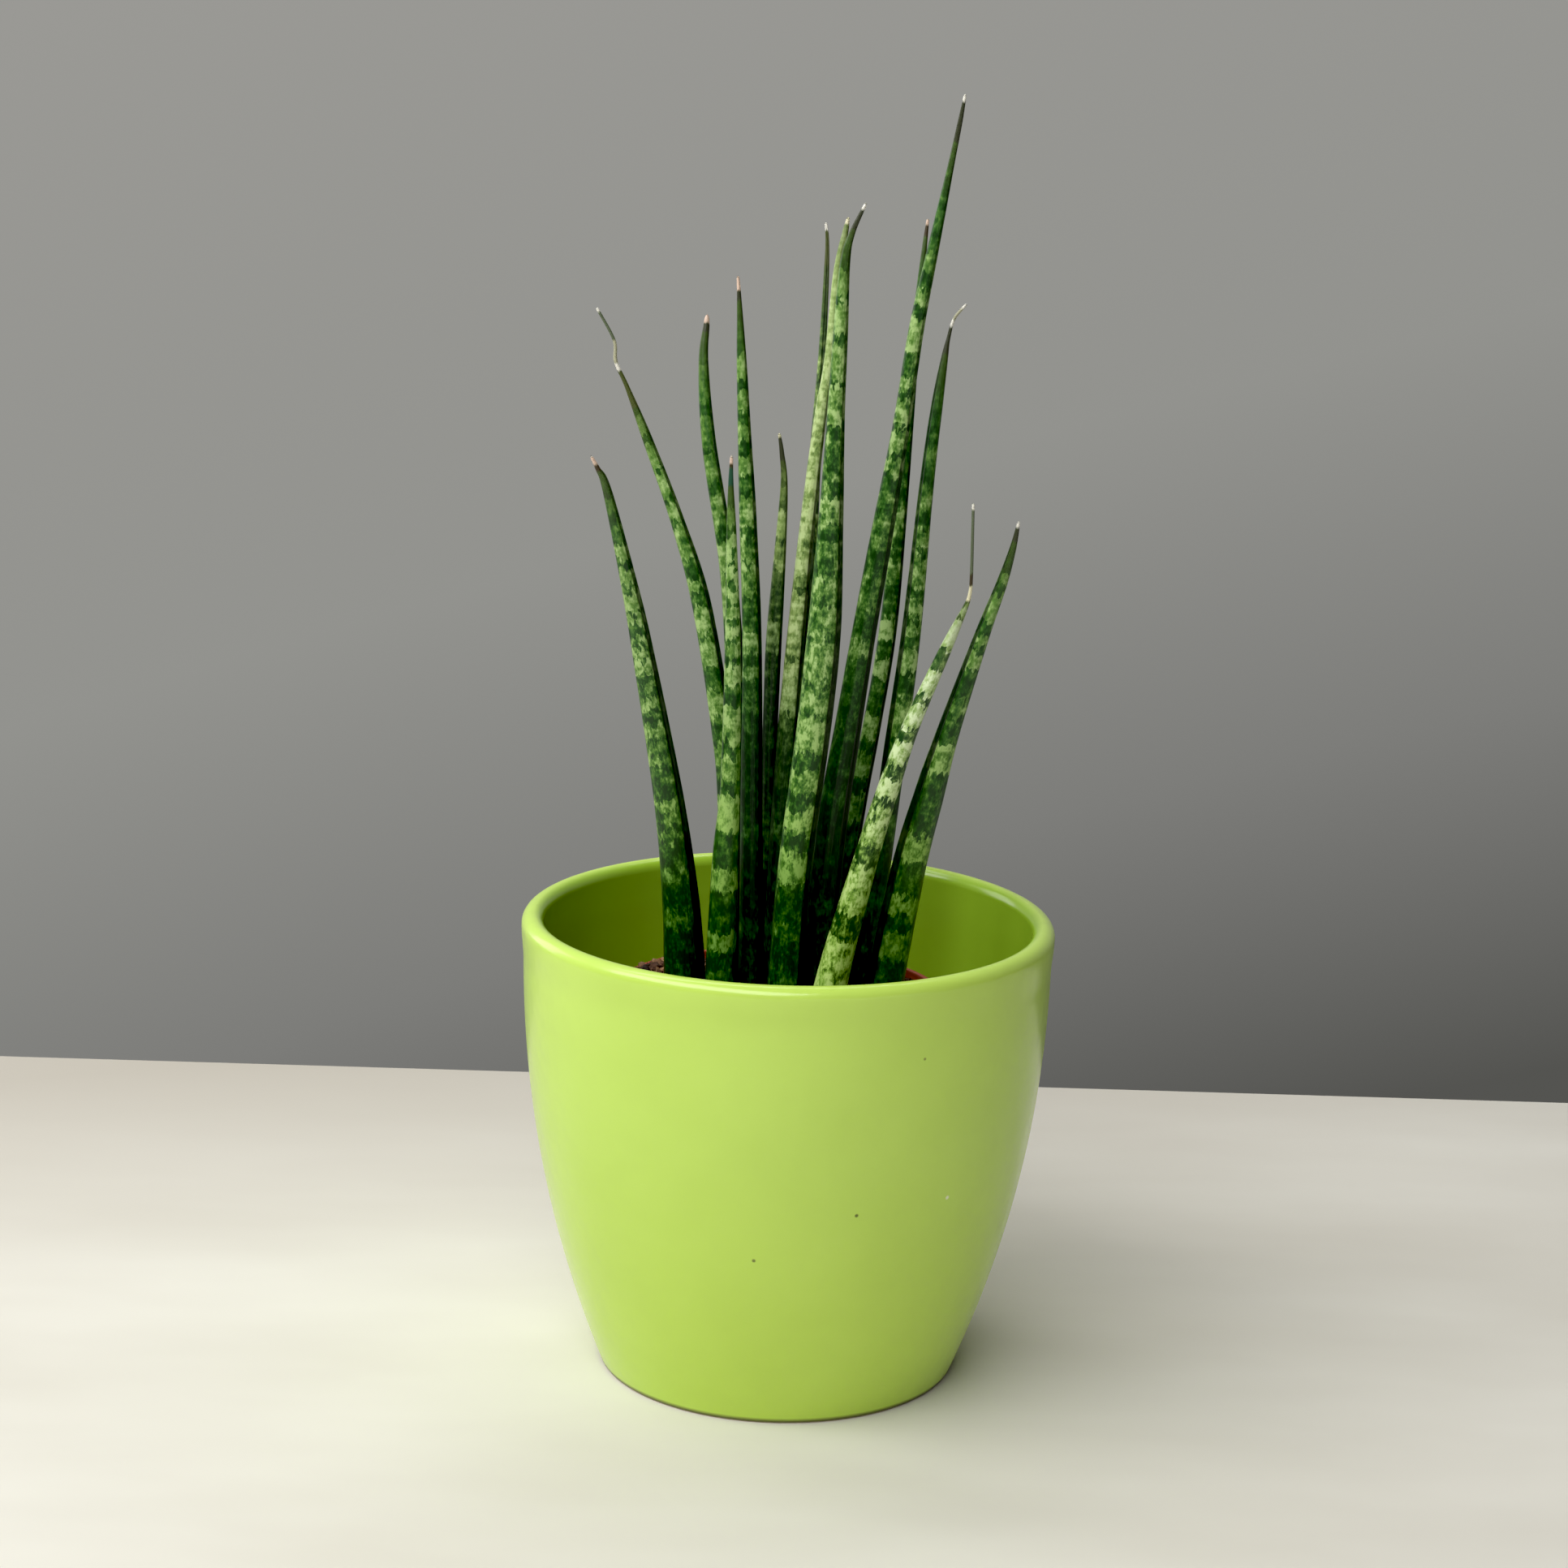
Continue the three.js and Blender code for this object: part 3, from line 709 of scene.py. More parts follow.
def leaf_skin(name, line, bands, greens, marks, fleck, ragged, shaded_below):
    """The waxy skin of one leaf: toothed bands of small blocks, flecks, streaks, marks, and painted shade in
    the channel and low on the leaf.
    """
    material, tree, _ = finish_of(name + "_skin")
    lengths = np.concatenate([[0], np.cumsum(np.linalg.norm(np.diff(line[:, :3], axis=0), axis=1))])

    def length_at(height):
        return float(np.interp(height * MM, line[:, 2], lengths))

    grown = put(tree, "ShaderNodeAttribute", attribute_name="grown").node.outputs["Vector"]
    across, beside, along = axes(tree, grown)
    warp = scaled(tree, grain(tree, grown, WARP_SIZE).node.outputs["Color"], BLOCK_WARP)
    steps = [1 / (size * MM) for size in BLOCK]
    cells = {"Vector": vector(tree, "MULTIPLY_ADD", grown, steps, warp), "Scale": 1.0, "Randomness": 1.0}
    block = put(tree, "ShaderNodeTexVoronoi", cells).node.outputs
    chance = put(tree, "ShaderNodeSeparateColor", [block["Color"]]).node.outputs
    block_at = calc(tree, "SUBTRACT", axes(tree, block["Position"])["Z"], 0.5 * BLOCK_WARP)
    block_at = calc(tree, "MULTIPLY", block_at, BLOCK[2] * MM)
    at = put(tree, "ShaderNodeMix", {"Factor": BLOCK_HOLD, "A": along, "B": block_at}, data_type="FLOAT")
    teeth = swing(tree, grain(tree, grown, TOOTH_SIZE, roughness=0.6), TEETH * ragged * MM)
    sway = swing(tree, grain(tree, grown, SWAY_SIZE, detail=1), SWAY * MM)
    jump = swing(tree, chance["Red"], JUMPS * ragged * MM)
    at = calc(tree, "ADD", calc(tree, "ADD", at, jump), calc(tree, "ADD", teeth, sway))
    pale = banding(tree, at, bands, length_at)
    streaks = grain(tree, grown, STREAK_SIZE)
    tone = calc(tree, "MULTIPLY_ADD", pale, BAND_TONE, SKIN_TONE)
    # Painted shade: below each leaf's given height the skin is made darker, standing in for the shade low in
    # the clump.
    painted_shade = fit(tree, along, length_at(shaded_below + PAINTED_SHADE_REACH), length_at(shaded_below - PAINTED_SHADE_REACH))
    tone = calc(tree, "SUBTRACT", tone, calc(tree, "MULTIPLY", painted_shade, PAINTED_SHADE_DARKENING))
    ringed = fit(tree, along, *map(length_at, RINGED_ALONG), *RINGED)
    ageing = length_at(marks[0][0])
    calm = fit(tree, along, ageing - CALM_REACH * MM, ageing, 1, CALM)
    for mottling in (
        swing(tree, grain(tree, grown, FLECK_SIZE, detail=3, roughness=0.65), FLECKS * fleck),
        swing(tree, grain(tree, grown, SPECKLE_SIZE), SPECKLES * fleck),
        swing(tree, grain(tree, grown, RING_SIZE, detail=1), ringed),
        swing(tree, chance["Green"], BLOTCHES),
        swing(tree, streaks, STREAKS),
    ):
        tone = calc(tree, "MULTIPLY_ADD", mottling, calm, tone)
    dark, deep, middle, bright = greens
    colour = ramp(tree, tone, [(0.12, dark), (0.34, deep), (0.57, middle), (0.84, bright)])
    # Painted shade: the skin turns darker and yellower from 185 down to 125 mm, then darker and bluer below
    # the leaf's given height.
    foot_shade = fit(tree, along, *map(length_at, FOOT_SHADE_HEIGHTS))
    colour = mixed(tree, foot_shade, colour, FOOT_SHADE_TINGE, "MULTIPLY")
    colour = mixed(tree, painted_shade, colour, PAINTED_SHADE_TINGE, "MULTIPLY")
    aged = fit(tree, along, ageing - AGED_REACH * MM, ageing, 0, AGED_SHARE)
    colour = mixed(tree, aged, colour, OLIVE)
    # Painted shade: the channel is painted near black, most strongly low on the leaf, standing in for the
    # shade inside the groove.
    turn = calc(tree, "ABSOLUTE", calc(tree, "ARCTAN2", beside, across))
    groove_shade = fit(tree, turn, CHANNEL_HALF_ANGLE * 1.15, CHANNEL_HALF_ANGLE * 0.9)
    depth = fit(tree, along, *map(length_at, GROOVE_SHADE_ALONG), *GROOVE_SHADE)
    colour = mixed(tree, calc(tree, "MULTIPLY", groove_shade, depth), colour, CHANNEL_SHADE_GREEN)
    frayed = calc(tree, "ADD", along, swing(tree, streaks, MARK_FRAY * MM))
    edge = MARK_EDGE * MM
    for low, high, shade in marks:
        above = fit(tree, frayed, length_at(low) - edge, length_at(low) + edge)
        below = fit(tree, frayed, length_at(high) + edge, length_at(high) - edge)
        colour = mixed(tree, calc(tree, "MULTIPLY", above, below), colour, shade)
    rough = fit(tree, tone, 0, 1, 0.33, 0.46)
    height = calc(tree, "MULTIPLY_ADD", grain(tree, grown, PORE_SIZE), PORES, streaks)
    surface(tree, Base_Color=colour, Roughness=rough, Specular_IOR_Level=0.4,
            Normal=relief(tree, height, 0.12))
    return material


GREENS = (tint(24, 60, 18), tint(48, 94, 32), tint(98, 138, 60), tint(164, 194, 122))
GREY_GREENS = (tint(34, 62, 28), tint(78, 106, 52), tint(134, 160, 88), tint(192, 212, 146))
PALE_GREENS = (tint(26, 62, 24), tint(70, 102, 50), tint(150, 180, 104), tint(214, 230, 186))


def leaf(name, channel, line, bands, marks, greens=GREENS, fleck=1.3, ragged=5, shaded_below=122):
    """One leaf from its middle line and half widths, its pale bands and its marks by height, in mm."""
    line = smooth_line(line)
    skin = leaf_skin(name, line, bands, greens, marks, fleck, ragged, shaded_below)
    piece = stand_object("banded_" + name, spike("banded_" + name, line, channel, skin))
    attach(piece, "root")
    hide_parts(name)
    feet.append((line, channel))


feet = []
leaf("leaf_01", -25,
     [(-26.5, -7.5, 90, 5.6), (-26.5, -8.5, 108, 5.4), (-28, -10.5, 129, 4.7), (-31.5, -14, 156, 3.8),
      (-38.4, -19.5, 194, 2.7), (-42.8, -23, 215, 1.9), (-47.6, -26.5, 235, 1.1), (-49.8, -27.5, 240, 0.6),
      (-51.4, -28, 243, 0.35)],
     [(121, 126, 0.5), (133.5, 136.5, 0.6), (144.5, 147.5, 0.65), (149, 151, 0.45), (153, 155.5, 0.7),
      (164, 166.5, 0.6), (168, 169.5, 0.45), (171.5, 175, 0.7), (179, 182, 0.75), (184, 185.5, 0.5),
      (188, 191.5, 0.9), (192.8, 194.2, 0.75), (195.5, 197.2, 0.75), (200.5, 203, 0.85), (204, 209.5, 0.95),
      (212, 215, 0.9), (217.5, 221, 0.85), (224, 226, 0.45), (229, 233, 0.3)],
     [(239.5, 241, BROWN), (241, 242.8, PINK), (242.8, 244, BONE)],
     fleck=1.5, shaded_below=132)
leaf("leaf_02", -28,
     [(-15.5, 8.5, 90, 3.7), (-15.5, 9.5, 120, 3.5), (-16.5, 10.8, 150, 3.1), (-19.3, 12.5, 171, 2.8),
      (-25.2, 14.8, 201, 2.5), (-32, 16.8, 222, 1.8), (-40, 18.8, 242, 1.3), (-45.5, 20, 255, 0.6),
      (-48.6, 20.6, 261.5, 0.5), (-49.2, 21, 267, 0.4), (-53.8, 22, 275, 0.35)],
     [(120, 128, 0.5), (140, 150, 0.6), (158, 164, 0.6), (170, 178, 0.75), (184, 190, 0.75),
      (193, 199, 0.8), (203, 206, 0.75), (212, 219, 0.75), (221, 226, 0.7), (227, 234, 0.8),
      (235, 241, 0.75), (243, 248, 0.6)],
     [(250, 259.3, OLIVE), (259.3, 261.3, BONE), (261.3, 267, STRAW), (267, 274, THREAD), (274, 276, BONE)])
leaf("leaf_03", -25,
     [(-11, 20, 90, 3.4), (-12, 23, 130, 3.1), (-15.2, 27, 170, 2.7), (-18.6, 30.5, 206, 2.2),
      (-24.5, 35, 239, 1.9), (-26.6, 38, 260, 1.3), (-26.1, 39.6, 270, 0.8), (-26, 40, 272.5, 0.4)],
     [(120, 126, 0.5), (150, 158, 0.6), (176, 186, 0.7), (194, 204, 0.7), (206, 214, 0.75), (216, 226, 0.5),
      (228, 236, 0.5), (238, 246, 0.45), (250, 260, 0.4)],
     [(268, 270.5, SMOKE), (270.5, 274, PINK)],
     fleck=1.1, shaded_below=168)
leaf("leaf_04", 70,
     [(-17, -16, 90, 4.1), (-17, -16, 110, 3.9), (-16.5, -15.6, 140, 3.3), (-15.8, -15.3, 160, 2.5),
      (-16, -15, 194, 2), (-17, -14.4, 222, 1.3), (-17.5, -14, 235, 0.7), (-17.5, -14, 242.5, 0.35)],
     [(108, 111, 0.4), (116, 121, 0.9), (132, 137, 0.9), (148, 157, 1), (160, 167, 0.65), (170, 179, 0.95),
      (184, 190, 1), (192, 195, 0.75), (197, 200, 0.85), (201.5, 204, 0.8), (206, 208.5, 0.8),
      (210, 214, 0.95), (215.5, 218, 0.85), (219, 223, 0.9), (225, 230, 0.6)],
     [(235, 239.5, TEAL), (239.5, 240.5, BROWN), (240.5, 242.3, PINK), (242.3, 244, BONE)])
leaf("leaf_05", -25,
     [(-9.5, -4, 90, 3.5), (-9.5, -3, 110, 3.2), (-10.4, -1, 149, 2.9), (-11.4, 1.4, 192, 2.5),
      (-13.3, 3.5, 224, 2.2), (-14.8, 5, 246, 1.7), (-16, 6.4, 264, 1.25), (-17, 7.5, 279, 0.6),
      (-17.5, 8, 285, 0.35)],
     [(116, 120, 0.4), (140, 146, 0.4), (175, 178, 0.45), (183, 186, 0.6), (190, 195, 0.7), (204, 212, 0.6),
      (214, 219, 0.7), (222, 230, 0.6), (235, 240, 0.7), (244, 248, 0.65), (252, 256, 0.65), (259, 265, 0.6)],
     [(279, 281.5, SMOKE), (281.5, 286, PINK)],
     shaded_below=178)
leaf("leaf_06", -25,
     [(-8, 10, 90, 2.8), (-7.5, 9.6, 115, 2.5), (-6.5, 8.6, 143, 2.2), (-6.2, 7.8, 170, 2),
      (-5.9, 7.2, 192, 2.05), (-4.9, 6.7, 216, 1.5), (-4.4, 6.4, 233, 0.9), (-5.2, 6.2, 241, 0.6),
      (-6, 6, 246, 0.35)],
     [(130, 150, 0.45), (190, 197, 0.6), (212, 218, 0.6), (219, 226, 0.7), (229, 232, 0.5), (235, 237, 0.5)],
     [(239, 245, SMOKE), (245, 247, CREAM)],
     GREY_GREENS, shaded_below=190)
leaf("leaf_07", -80,
     [(1.5, 15, 90, 3.3), (2, 20, 140, 2.9), (2.4, 28, 190, 2.3), (3.2, 35, 230, 1.7),
      (4.4, 40.2, 262, 1.05), (4.9, 43.5, 282, 0.75), (4.9, 45.2, 292, 0.5), (4.4, 46, 297, 0.35)],
     [(130, 137, 0.5), (160, 168, 0.6), (190, 196, 0.6), (214, 222, 0.6), (236, 242, 0.25), (250, 262, 0.2)],
     [(286, 295, OLIVE), (295, 298, BONE)],
     GREY_GREENS)
leaf("leaf_08", -25,
     [(-3, 2, 90, 3.6), (-3, 2.6, 120, 3.2), (-2.4, 3.8, 150, 2.8), (-1.3, 5, 177, 2.5),
      (1.2, 6.9, 215, 2), (4.2, 8.8, 249, 1.6), (6.1, 9.6, 264, 1.35), (7.4, 10.8, 286, 1),
      (9.1, 11.7, 296, 0.8), (9.8, 12, 300, 0.4)],
     [(112, 118, 0.4), (140, 146, 0.4), (174, 187, 0.8), (188, 194, 0.6), (194, 205, 0.8), (206, 210, 0.5),
      (210, 223, 0.95), (223, 225, 0.8), (225, 245, 1), (245, 247, 0.8), (247, 262, 1), (262, 300, 0.8)],
     [(298.5, 301, CREAM)],
     GREY_GREENS, fleck=1.1, ragged=4, shaded_below=168)
leaf("leaf_09", -25,
     [(-0.5, -13.8, 90, 4.7), (-0.2, -14.1, 110, 4.5), (1.4, -14.9, 140, 4.3), (4.9, -16.1, 174, 4.35),
      (6.8, -17.2, 200, 4.2), (7.6, -18.5, 230, 3), (8, -19.5, 254, 2.2), (8.5, -20.5, 275, 1.8),
      (9, -21.3, 291, 1.25), (10.4, -21.7, 298, 0.75), (13.6, -22, 305.5, 0.35)],
     [(107, 112, 0.45), (120, 124, 0.4), (134, 143, 1), (148, 154, 0.95), (158, 163, 0.7), (168, 178, 0.8),
      (179, 186, 0.55), (187, 197, 0.65), (199, 206, 0.55), (208, 214, 0.6), (215, 222, 0.35),
      (226, 233, 0.85), (235, 250, 0.35), (252, 260, 0.9), (262, 272, 0.6), (274, 281, 0.85),
      (283, 290, 0.7)],
     [(299, 304, SMOKE), (304, 306, BONE)],
     fleck=1.6, shaded_below=128)
leaf("leaf_10", -28,
     [(6.5, -1.5, 90, 4.4), (7.5, -2, 106, 4.3), (10.7, -2.8, 148, 3.9), (13.6, -3.3, 171, 3.5),
      (17, -4, 197, 3.1), (20, -4.5, 218, 2.9), (24.4, -5.4, 249, 2.2), (27.5, -6.2, 275, 1.9),
      (31, -6.8, 295.5, 1.4), (34.4, -7.5, 315, 0.8), (36.1, -7.8, 325, 0.6), (37.1, -8, 331.6, 0.35)],
     [(124, 128, 0.35), (152, 157, 0.4), (190, 195, 0.55), (203, 210, 0.3), (219, 232, 0.3), (238, 242, 0.85),
      (244, 249, 0.85), (250, 257, 0.9), (258, 262, 0.7), (269, 277, 0.85), (280, 284, 0.7), (287, 293, 0.5)],
     [(320, 330, SMOKE), (330, 332, BONE)],
     shaded_below=172)
leaf("leaf_11", -25,
     [(10.5, 12.5, 90, 3.5), (13, 13.5, 120, 3.1), (17.3, 15, 150, 2.6), (20.5, 16.6, 170, 2.4),
      (23.8, 18.8, 195, 2.3), (26, 22, 230, 1.9), (28, 26, 266, 1.3), (29.6, 28.7, 289, 0.75),
      (30.5, 30, 299.5, 0.35)],
     [(135, 141, 0.6), (144, 151, 0.75), (155, 161, 0.7), (165, 172, 0.8), (181, 186, 0.9), (191, 196, 0.9),
      (206, 211, 0.5), (215, 225, 0.5), (240, 246, 0.4), (262, 268, 0.4)],
     [(295, 298, BROWN), (298, 300, PINK)],
     shaded_below=155)
leaf("leaf_12", -150,
     [(19.5, 7.5, 90, 4), (21.5, 8.7, 118, 3.6), (24.6, 10.2, 146, 3.1), (27, 11.5, 169, 2.9),
      (29.8, 13.4, 197, 2.5), (32.2, 16, 232, 1.9), (34.2, 17.8, 253, 1.5), (35.7, 18.8, 265, 0.9),
      (36.5, 19.2, 270, 0.5), (37.8, 19.7, 275, 0.4), (40.8, 20, 278.8, 0.35)],
     [(120, 128, 0.5), (140, 148, 0.6), (168, 178, 0.7), (184, 190, 0.95), (193, 197, 0.75), (199, 203, 0.95),
      (206, 214, 0.75), (216, 221, 0.75), (225, 232, 0.45), (238, 242, 0.3)],
     [(266, 273, SMOKE), (273, 274.8, BONE), (274.8, 277.6, STRAW), (277.6, 279.5, BONE)],
     shaded_below=150)
leaf("leaf_13", 150,
     [(9.2, -17.2, 90, 4.4), (11.4, -17.5, 108.5, 4.2), (18.8, -20.6, 141, 3.2), (23.6, -22.8, 159.5, 2.8),
      (28.8, -25.1, 177, 2.2), (36.8, -28.2, 198, 1.5), (41, -29.8, 208.5, 0.7), (42, -30.3, 212, 0.45),
      (42.2, -31.2, 217, 0.4), (41.8, -34, 235, 0.35)],
     [(106, 121, 0.85), (128, 141, 0.85), (147, 152, 0.7), (153, 157, 0.75), (159, 164, 1), (168, 174, 1),
      (177, 183, 1), (186, 193, 1), (198, 205, 1), (206, 209, 0.8)],
     [(210.5, 214.5, CREAM), (214.5, 217.5, BROWN), (217.5, 233.5, THREAD), (233.5, 236, BONE)],
     PALE_GREENS, fleck=1.6, shaded_below=60)
leaf("leaf_14", -155,
     [(23.5, -8, 90, 5), (25.6, -8.4, 108, 4.9), (30.6, -10.6, 139, 4.4), (34.7, -12.2, 157, 3.8),
      (39, -13.9, 174.5, 2.9), (46.4, -16.6, 200, 1.9), (50.5, -18.1, 213, 1.4), (52.8, -19.2, 222, 0.85),
      (54, -20, 229, 0.35)],
     [(114, 121, 0.75), (126, 131, 0.8), (140, 147, 0.85), (164, 172, 1), (179, 183, 0.6), (191, 195, 0.9),
      (197, 200, 0.7), (203, 211, 0.75), (213, 216, 0.6)],
     [(224, 227.5, SMOKE), (227.5, 230, BONE)],
     shaded_below=118)


# Soil
# Damp peat with bark, perlite and fibres, pressed round the leaves up to just below the collar's edge.
# The top is loose crumb. It heaps up a little at the back left, where bark chips lie over the collar.

SOIL_LEVEL = 97.5
SOIL_CROWN = 2.2
SOIL_HEAP = 2.6
SOIL_HEAP_AT = (-33, 19)
SOIL_HEAP_REACH = 15
SEAT_GAP = 0.3
SOIL_SIDES = 160
SOIL_RINGS = 60
SOIL_ROUGHNESS = 2.6
CLOD_SIZE = (3.2, 3.2, 3.2)
CLUMP_SIZE = (2.4, 2.4, 2.4)
HOLE_TOP = 112
HOLE_GAP = 0.05
HOLE_SIDES = 24
WHOLE_TOP = 100
CHIPS_AT = (-38, 19)
CHIPS_REACH = 9
CHIPS_LIFT = 0.9
CRUMB_RINGS = 5
CRUMB_SEGMENTS = 7
CRUMB_TILT = 0.3
LEVEL_ENOUGH = 0.3
MOSTLY_SMALL = 2.5
DENTS_A_METRE = 1100
CRUMB_GAP = 0.5
CRUMB_PORES = (0.5, 0.5, 0.5)


def bump(x, y, centre_x, centre_y, reach):
    distance = math.hypot(x - centre_x, y - centre_y) / reach
    return 0.5 + 0.5 * math.cos(math.pi * distance) if distance < 1 else 0


def soil_height(x, y):
    crown = SOIL_CROWN * (1 - (math.hypot(x - INNER_X, y) / WALL_TOP_RADIUS) ** 2)
    return SOIL_LEVEL + crown + SOIL_HEAP * bump(x, y, *SOIL_HEAP_AT, SOIL_HEAP_REACH)


def soil_mesh():
    floor = INNER_FLOOR + SEAT_GAP
    inside = COLLAR_RADIUS - PLASTIC - SEAT_GAP
    outline = [
        (0, floor),
        *[(plastic_outer_radius(height) - PLASTIC - SEAT_GAP, height)
          for height in spaced(floor, COLLAR_UNDER, 8)],
        (WALL_TOP_RADIUS - PLASTIC - SEAT_GAP, COLLAR_UNDER + PLASTIC + COLLAR_EDGE / 2),
        (inside, COLLAR_UNDER + PLASTIC + COLLAR_EDGE + SEAT_GAP),
        *[(radius, SOIL_LEVEL) for radius in spaced(inside, 0, SOIL_RINGS)],
    ]
    mesh = turned("packed_soil", outline, SOIL_SIDES, INNER_X)
    for vertex in mesh.vertices:
        if vertex.co.z > (SOIL_LEVEL - 0.01) * MM:
            vertex.co.z = soil_height(vertex.co.x / MM, vertex.co.y / MM) * MM
    return mesh


def peat():
    material, tree, place = finish_of("peat")
    clump = grain(tree, place, CLUMP_SIZE, detail=4, roughness=0.65)
    colour = ramp(tree, clump, [(0.3, tint(28, 19, 13)), (0.5, tint(58, 40, 28)), (0.7, tint(96, 68, 46))])
    surface(tree, Base_Color=colour, Roughness=0.95, Normal=relief(tree, clump, 0.8))
    return material


def soil_shape():
    """Roughens the top of the soil."""
    tree, given = new_shape("rough_soil", Top="Float", Roughness_Height="Float", Material="Material")
    place = put(tree, "GeometryNodeInputPosition")
    at_top = calc(tree, "GREATER_THAN", axes(tree, place)["Z"], given["Top"])
    rough = grain(tree, place, CLOD_SIZE, detail=4, roughness=0.6)
    lift = calc(tree, "MULTIPLY", swing(tree, rough, given["Roughness Height"]), at_top)
    offset = put(tree, "ShaderNodeCombineXYZ", [0.0, 0.0, lift])
    ground = put(tree, "GeometryNodeSetPosition", {"Geometry": given["Geometry"], "Offset": offset})
    close_shape(tree, ground, given["Material"])
    return tree


def crumb_shape():
    """Strews lumps over the top of a surface, clear of the leaves."""
    tree, given = new_shape("loose_crumbs", Density="Float", Smallest="Float", Largest="Float",
                            Stretch="Float", Top="Float", Centre="Vector", Reach="Float", Lift="Float",
                            Clearance="Float", Leaves="Object", Seed="Int", Material="Material")
    place = put(tree, "GeometryNodeInputPosition")
    upright = axes(tree, put(tree, "GeometryNodeInputNormal"))["Z"]
    at_top = calc(tree, "GREATER_THAN", axes(tree, place)["Z"], given["Top"])
    chosen = calc(tree, "MULTIPLY", at_top, calc(tree, "GREATER_THAN", upright, LEVEL_ENOUGH))
    near = calc(tree, "LESS_THAN", vector(tree, "DISTANCE", place, given["Centre"]), given["Reach"])
    spread = {"Mesh": given["Geometry"], "Selection": calc(tree, "MULTIPLY", chosen, near),
              "Density": given["Density"], "Seed": given["Seed"]}
    points = put(tree, "GeometryNodeDistributePointsOnFaces", spread)
    leaves = put(tree, "GeometryNodeObjectInfo", {"Object": given["Leaves"]}).node.outputs["Geometry"]
    gap = put(tree, "GeometryNodeProximity", {"Geometry": leaves}, target_element="FACES")
    crowded = calc(tree, "LESS_THAN", gap.node.outputs["Distance"], given["Clearance"])
    removed = {"Geometry": points, "Selection": crowded}
    points = put(tree, "GeometryNodeDeleteGeometry", removed, domain="POINT")
    raised = put(tree, "ShaderNodeCombineXYZ", [0.0, 0.0, given["Lift"]])
    points = put(tree, "GeometryNodeSetPosition", {"Geometry": points, "Offset": raised})
    lump = {"Segments": CRUMB_SEGMENTS, "Rings": CRUMB_RINGS, "Radius": 0.5}
    lump = put(tree, "GeometryNodeMeshUVSphere", lump)
    size = put(tree, "FunctionNodeRandomValue", {"Min": 0.0, "Max": 1.0, "Seed": 1}, data_type="FLOAT")
    size = calc(tree, "POWER", size, MOSTLY_SMALL)
    size = fit(tree, size, 0.0, 1.0, given["Smallest"], given["Largest"])
    scale = put(tree, "ShaderNodeCombineXYZ", [calc(tree, "MULTIPLY", size, given["Stretch"]), size, size])
    turn = {"Min": (-CRUMB_TILT, -CRUMB_TILT, 0.0), "Max": (CRUMB_TILT, CRUMB_TILT, 6.28), "Seed": 2}
    turn = put(tree, "FunctionNodeRandomValue", turn, data_type="FLOAT_VECTOR")
    placed = {"Points": points, "Instance": lump, "Rotation": turn, "Scale": scale}
    lumps = put(tree, "GeometryNodeInstanceOnPoints", placed)
    shade = put(tree, "FunctionNodeRandomValue", {"Min": 0.0, "Max": 1.0, "Seed": 3}, data_type="FLOAT")
    lumps = stored(tree, lumps, "shade", shade, domain="INSTANCE")
    real = put(tree, "GeometryNodeRealizeInstances", [lumps])
    dent = {"Vector": put(tree, "GeometryNodeInputPosition"), "Scale": DENTS_A_METRE, "Detail": 2.0}
    dent = put(tree, "ShaderNodeTexNoise", dent).node.outputs["Color"]
    dent = scaled(tree, vector(tree, "SUBTRACT", dent, (0.5, 0.5, 0.5)), given["Largest"])
    real = put(tree, "GeometryNodeSetPosition", {"Geometry": real, "Offset": dent})
    close_shape(tree, real, given["Material"])
    return tree


def crumb_finish(name, stops):
    """Loose bits whose colour differs from one to the next."""
    material, tree, place = finish_of(name)
    shade = put(tree, "ShaderNodeAttribute", attribute_name="shade").node.outputs["Fac"]
    pores = grain(tree, place, CRUMB_PORES, detail=3)
    tone = calc(tree, "ADD", shade, swing(tree, pores, 0.6))
    surface(tree, Base_Color=ramp(tree, tone, stops), Roughness=0.92, Normal=relief(tree, pores, 0.3))
    return material


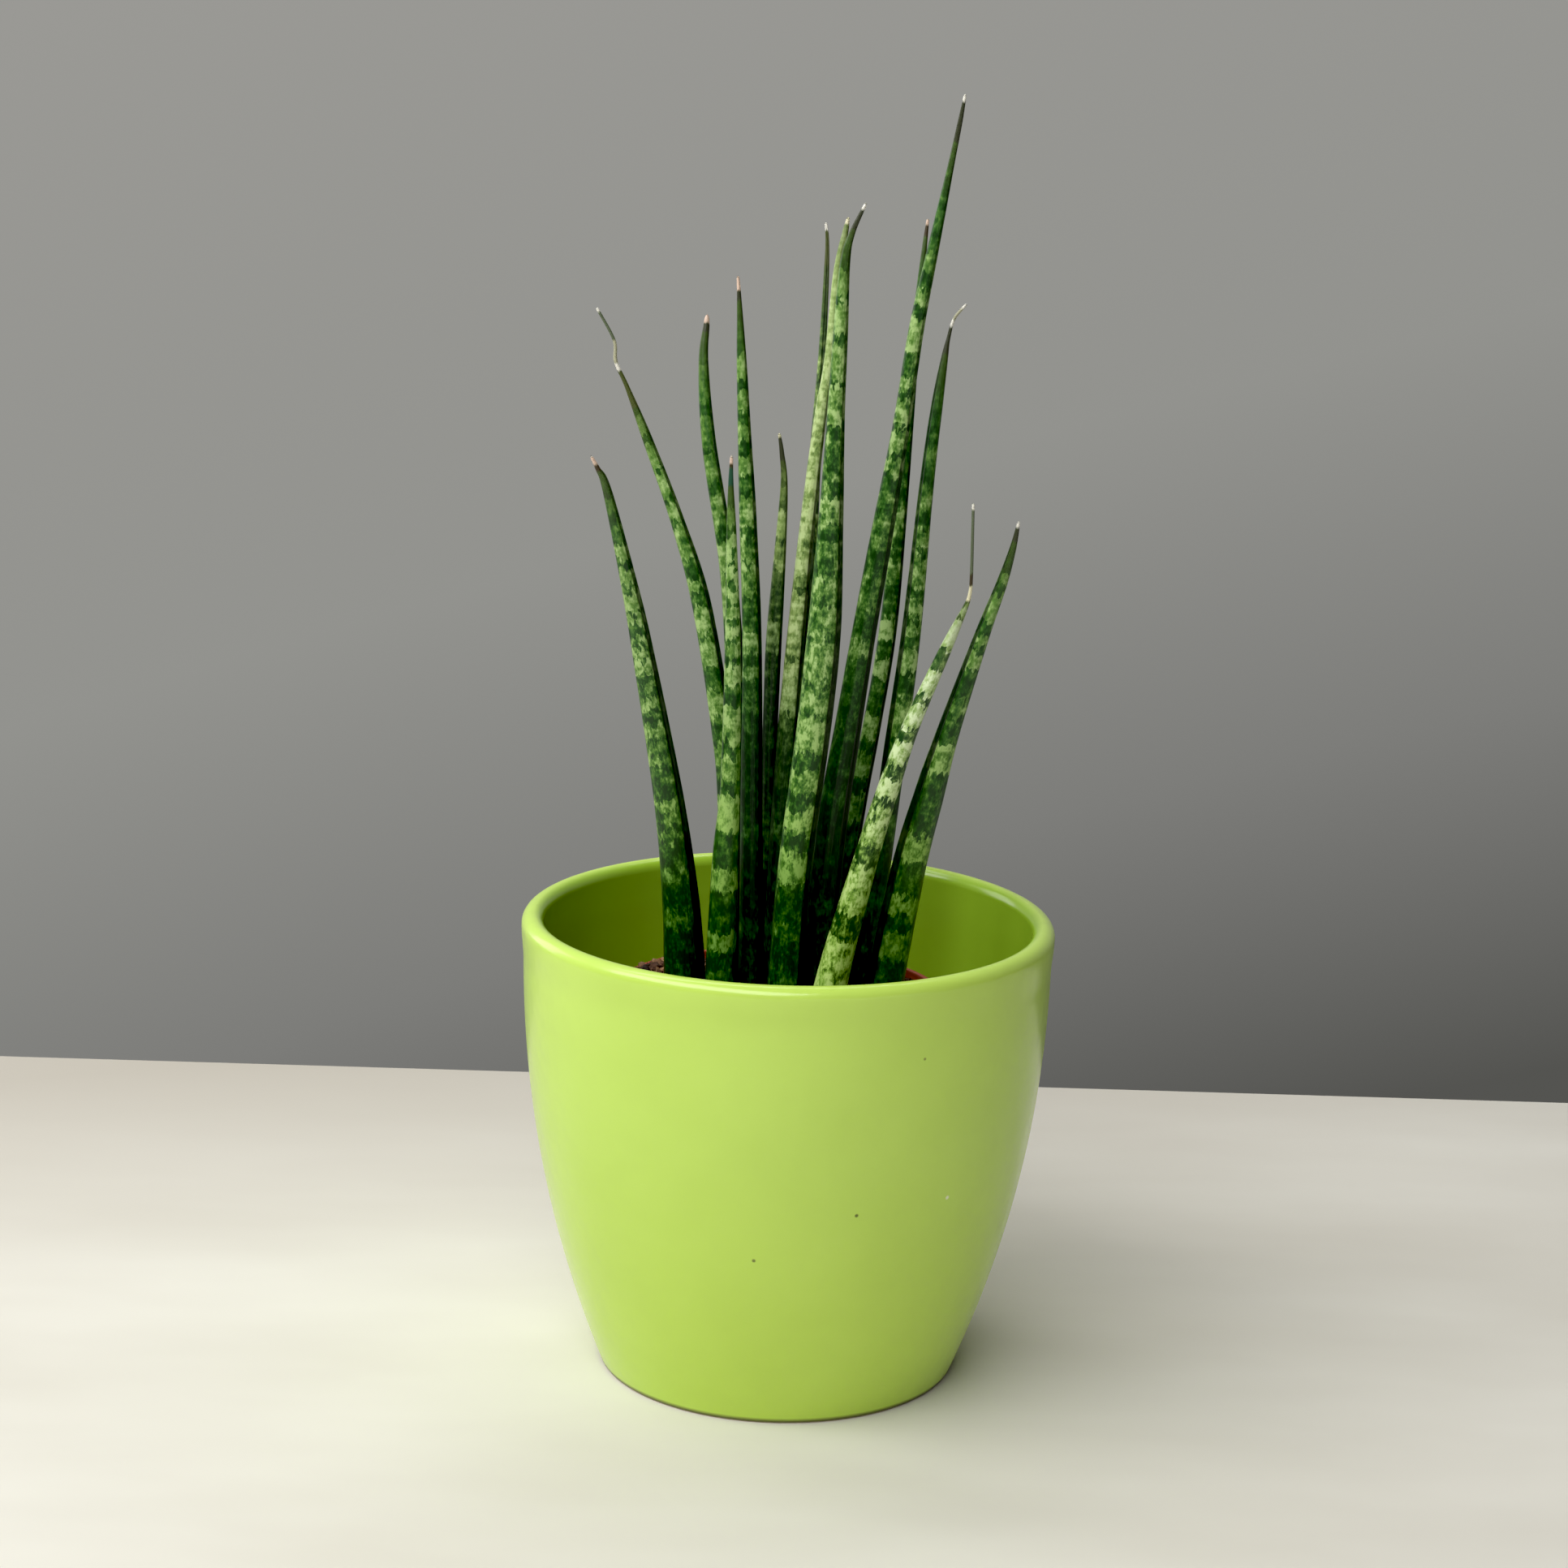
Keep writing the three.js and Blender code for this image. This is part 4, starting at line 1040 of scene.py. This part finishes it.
cutters = bmesh.new()
for line, channel in feet:
    foot = line[line[:, 2] < HOLE_TOP * MM]
    foot[0, 2] -= HOLE_GAP * MM
    cutters.from_mesh(spike("hole", foot, channel, sides=HOLE_SIDES, wider=HOLE_GAP, lumps=0.0, ribs=0.0))
foot_mesh = bpy.data.meshes.new("leaf_holes")
cutters.to_mesh(foot_mesh)
cutters.free()
leaf_holes = stand_object("leaf_holes", foot_mesh)

rough = shaped("rough_soil", soil_mesh(), soil_shape(), Top=(SOIL_LEVEL - 0.5) * MM,
               Roughness_Height=SOIL_ROUGHNESS * MM, Material=peat())
soil = stand_object("packed_soil", rough)
drilling = soil.modifiers.new("leaf_holes", "BOOLEAN")
drilling.operation = "DIFFERENCE"
drilling.object = leaf_holes
drilling.solver = "EXACT"
drilled = bpy.data.meshes.new_from_object(soil.evaluated_get(bpy.context.evaluated_depsgraph_get()))
soil.modifiers.remove(drilling)
soil.data = drilled
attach(soil, "root")
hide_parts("soil")

crumbs = crumb_shape()
chips_at = [value * MM for value in (*CHIPS_AT, SOIL_LEVEL + SOIL_HEAP)]
for name, density, smallest, largest, stretch, reach, lift, seed, stops in (
    ("peat_crumbs", 350000, 0.5, 2.4, 1.0, WHOLE_TOP, 0, 4,
     [(0.1, tint(30, 20, 14)), (0.6, tint(74, 50, 34)), (0.95, tint(120, 88, 60))]),
    ("peat_fibres", 40000, 0.25, 0.5, 14.0, WHOLE_TOP, 0, 5,
     [(0.1, tint(70, 48, 30)), (0.9, tint(150, 116, 78))]),
    ("perlite_grains", 16000, 0.6, 1.9, 1.0, WHOLE_TOP, 0, 6,
     [(0.1, tint(196, 186, 168)), (0.9, tint(232, 226, 214))]),
    ("bark_chips", 420000, 0.9, 3.0, 2.0, CHIPS_REACH, CHIPS_LIFT, 8,
     [(0.1, tint(34, 20, 14)), (0.5, tint(84, 54, 36)), (0.9, tint(146, 112, 80))]),
):
    strewn = shaped(name, drilled.copy(), crumbs, Density=float(density), Smallest=smallest * MM,
                    Largest=largest * MM, Stretch=stretch, Top=(SOIL_LEVEL - 0.8) * MM, Centre=chips_at,
                    Reach=reach * MM, Lift=lift * MM, Clearance=CRUMB_GAP * MM, Leaves=leaf_holes, Seed=seed,
                    Material=crumb_finish(name, stops))
    piece = stand_object(name, strewn)
    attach(piece, "root")
bpy.data.objects.remove(leaf_holes)
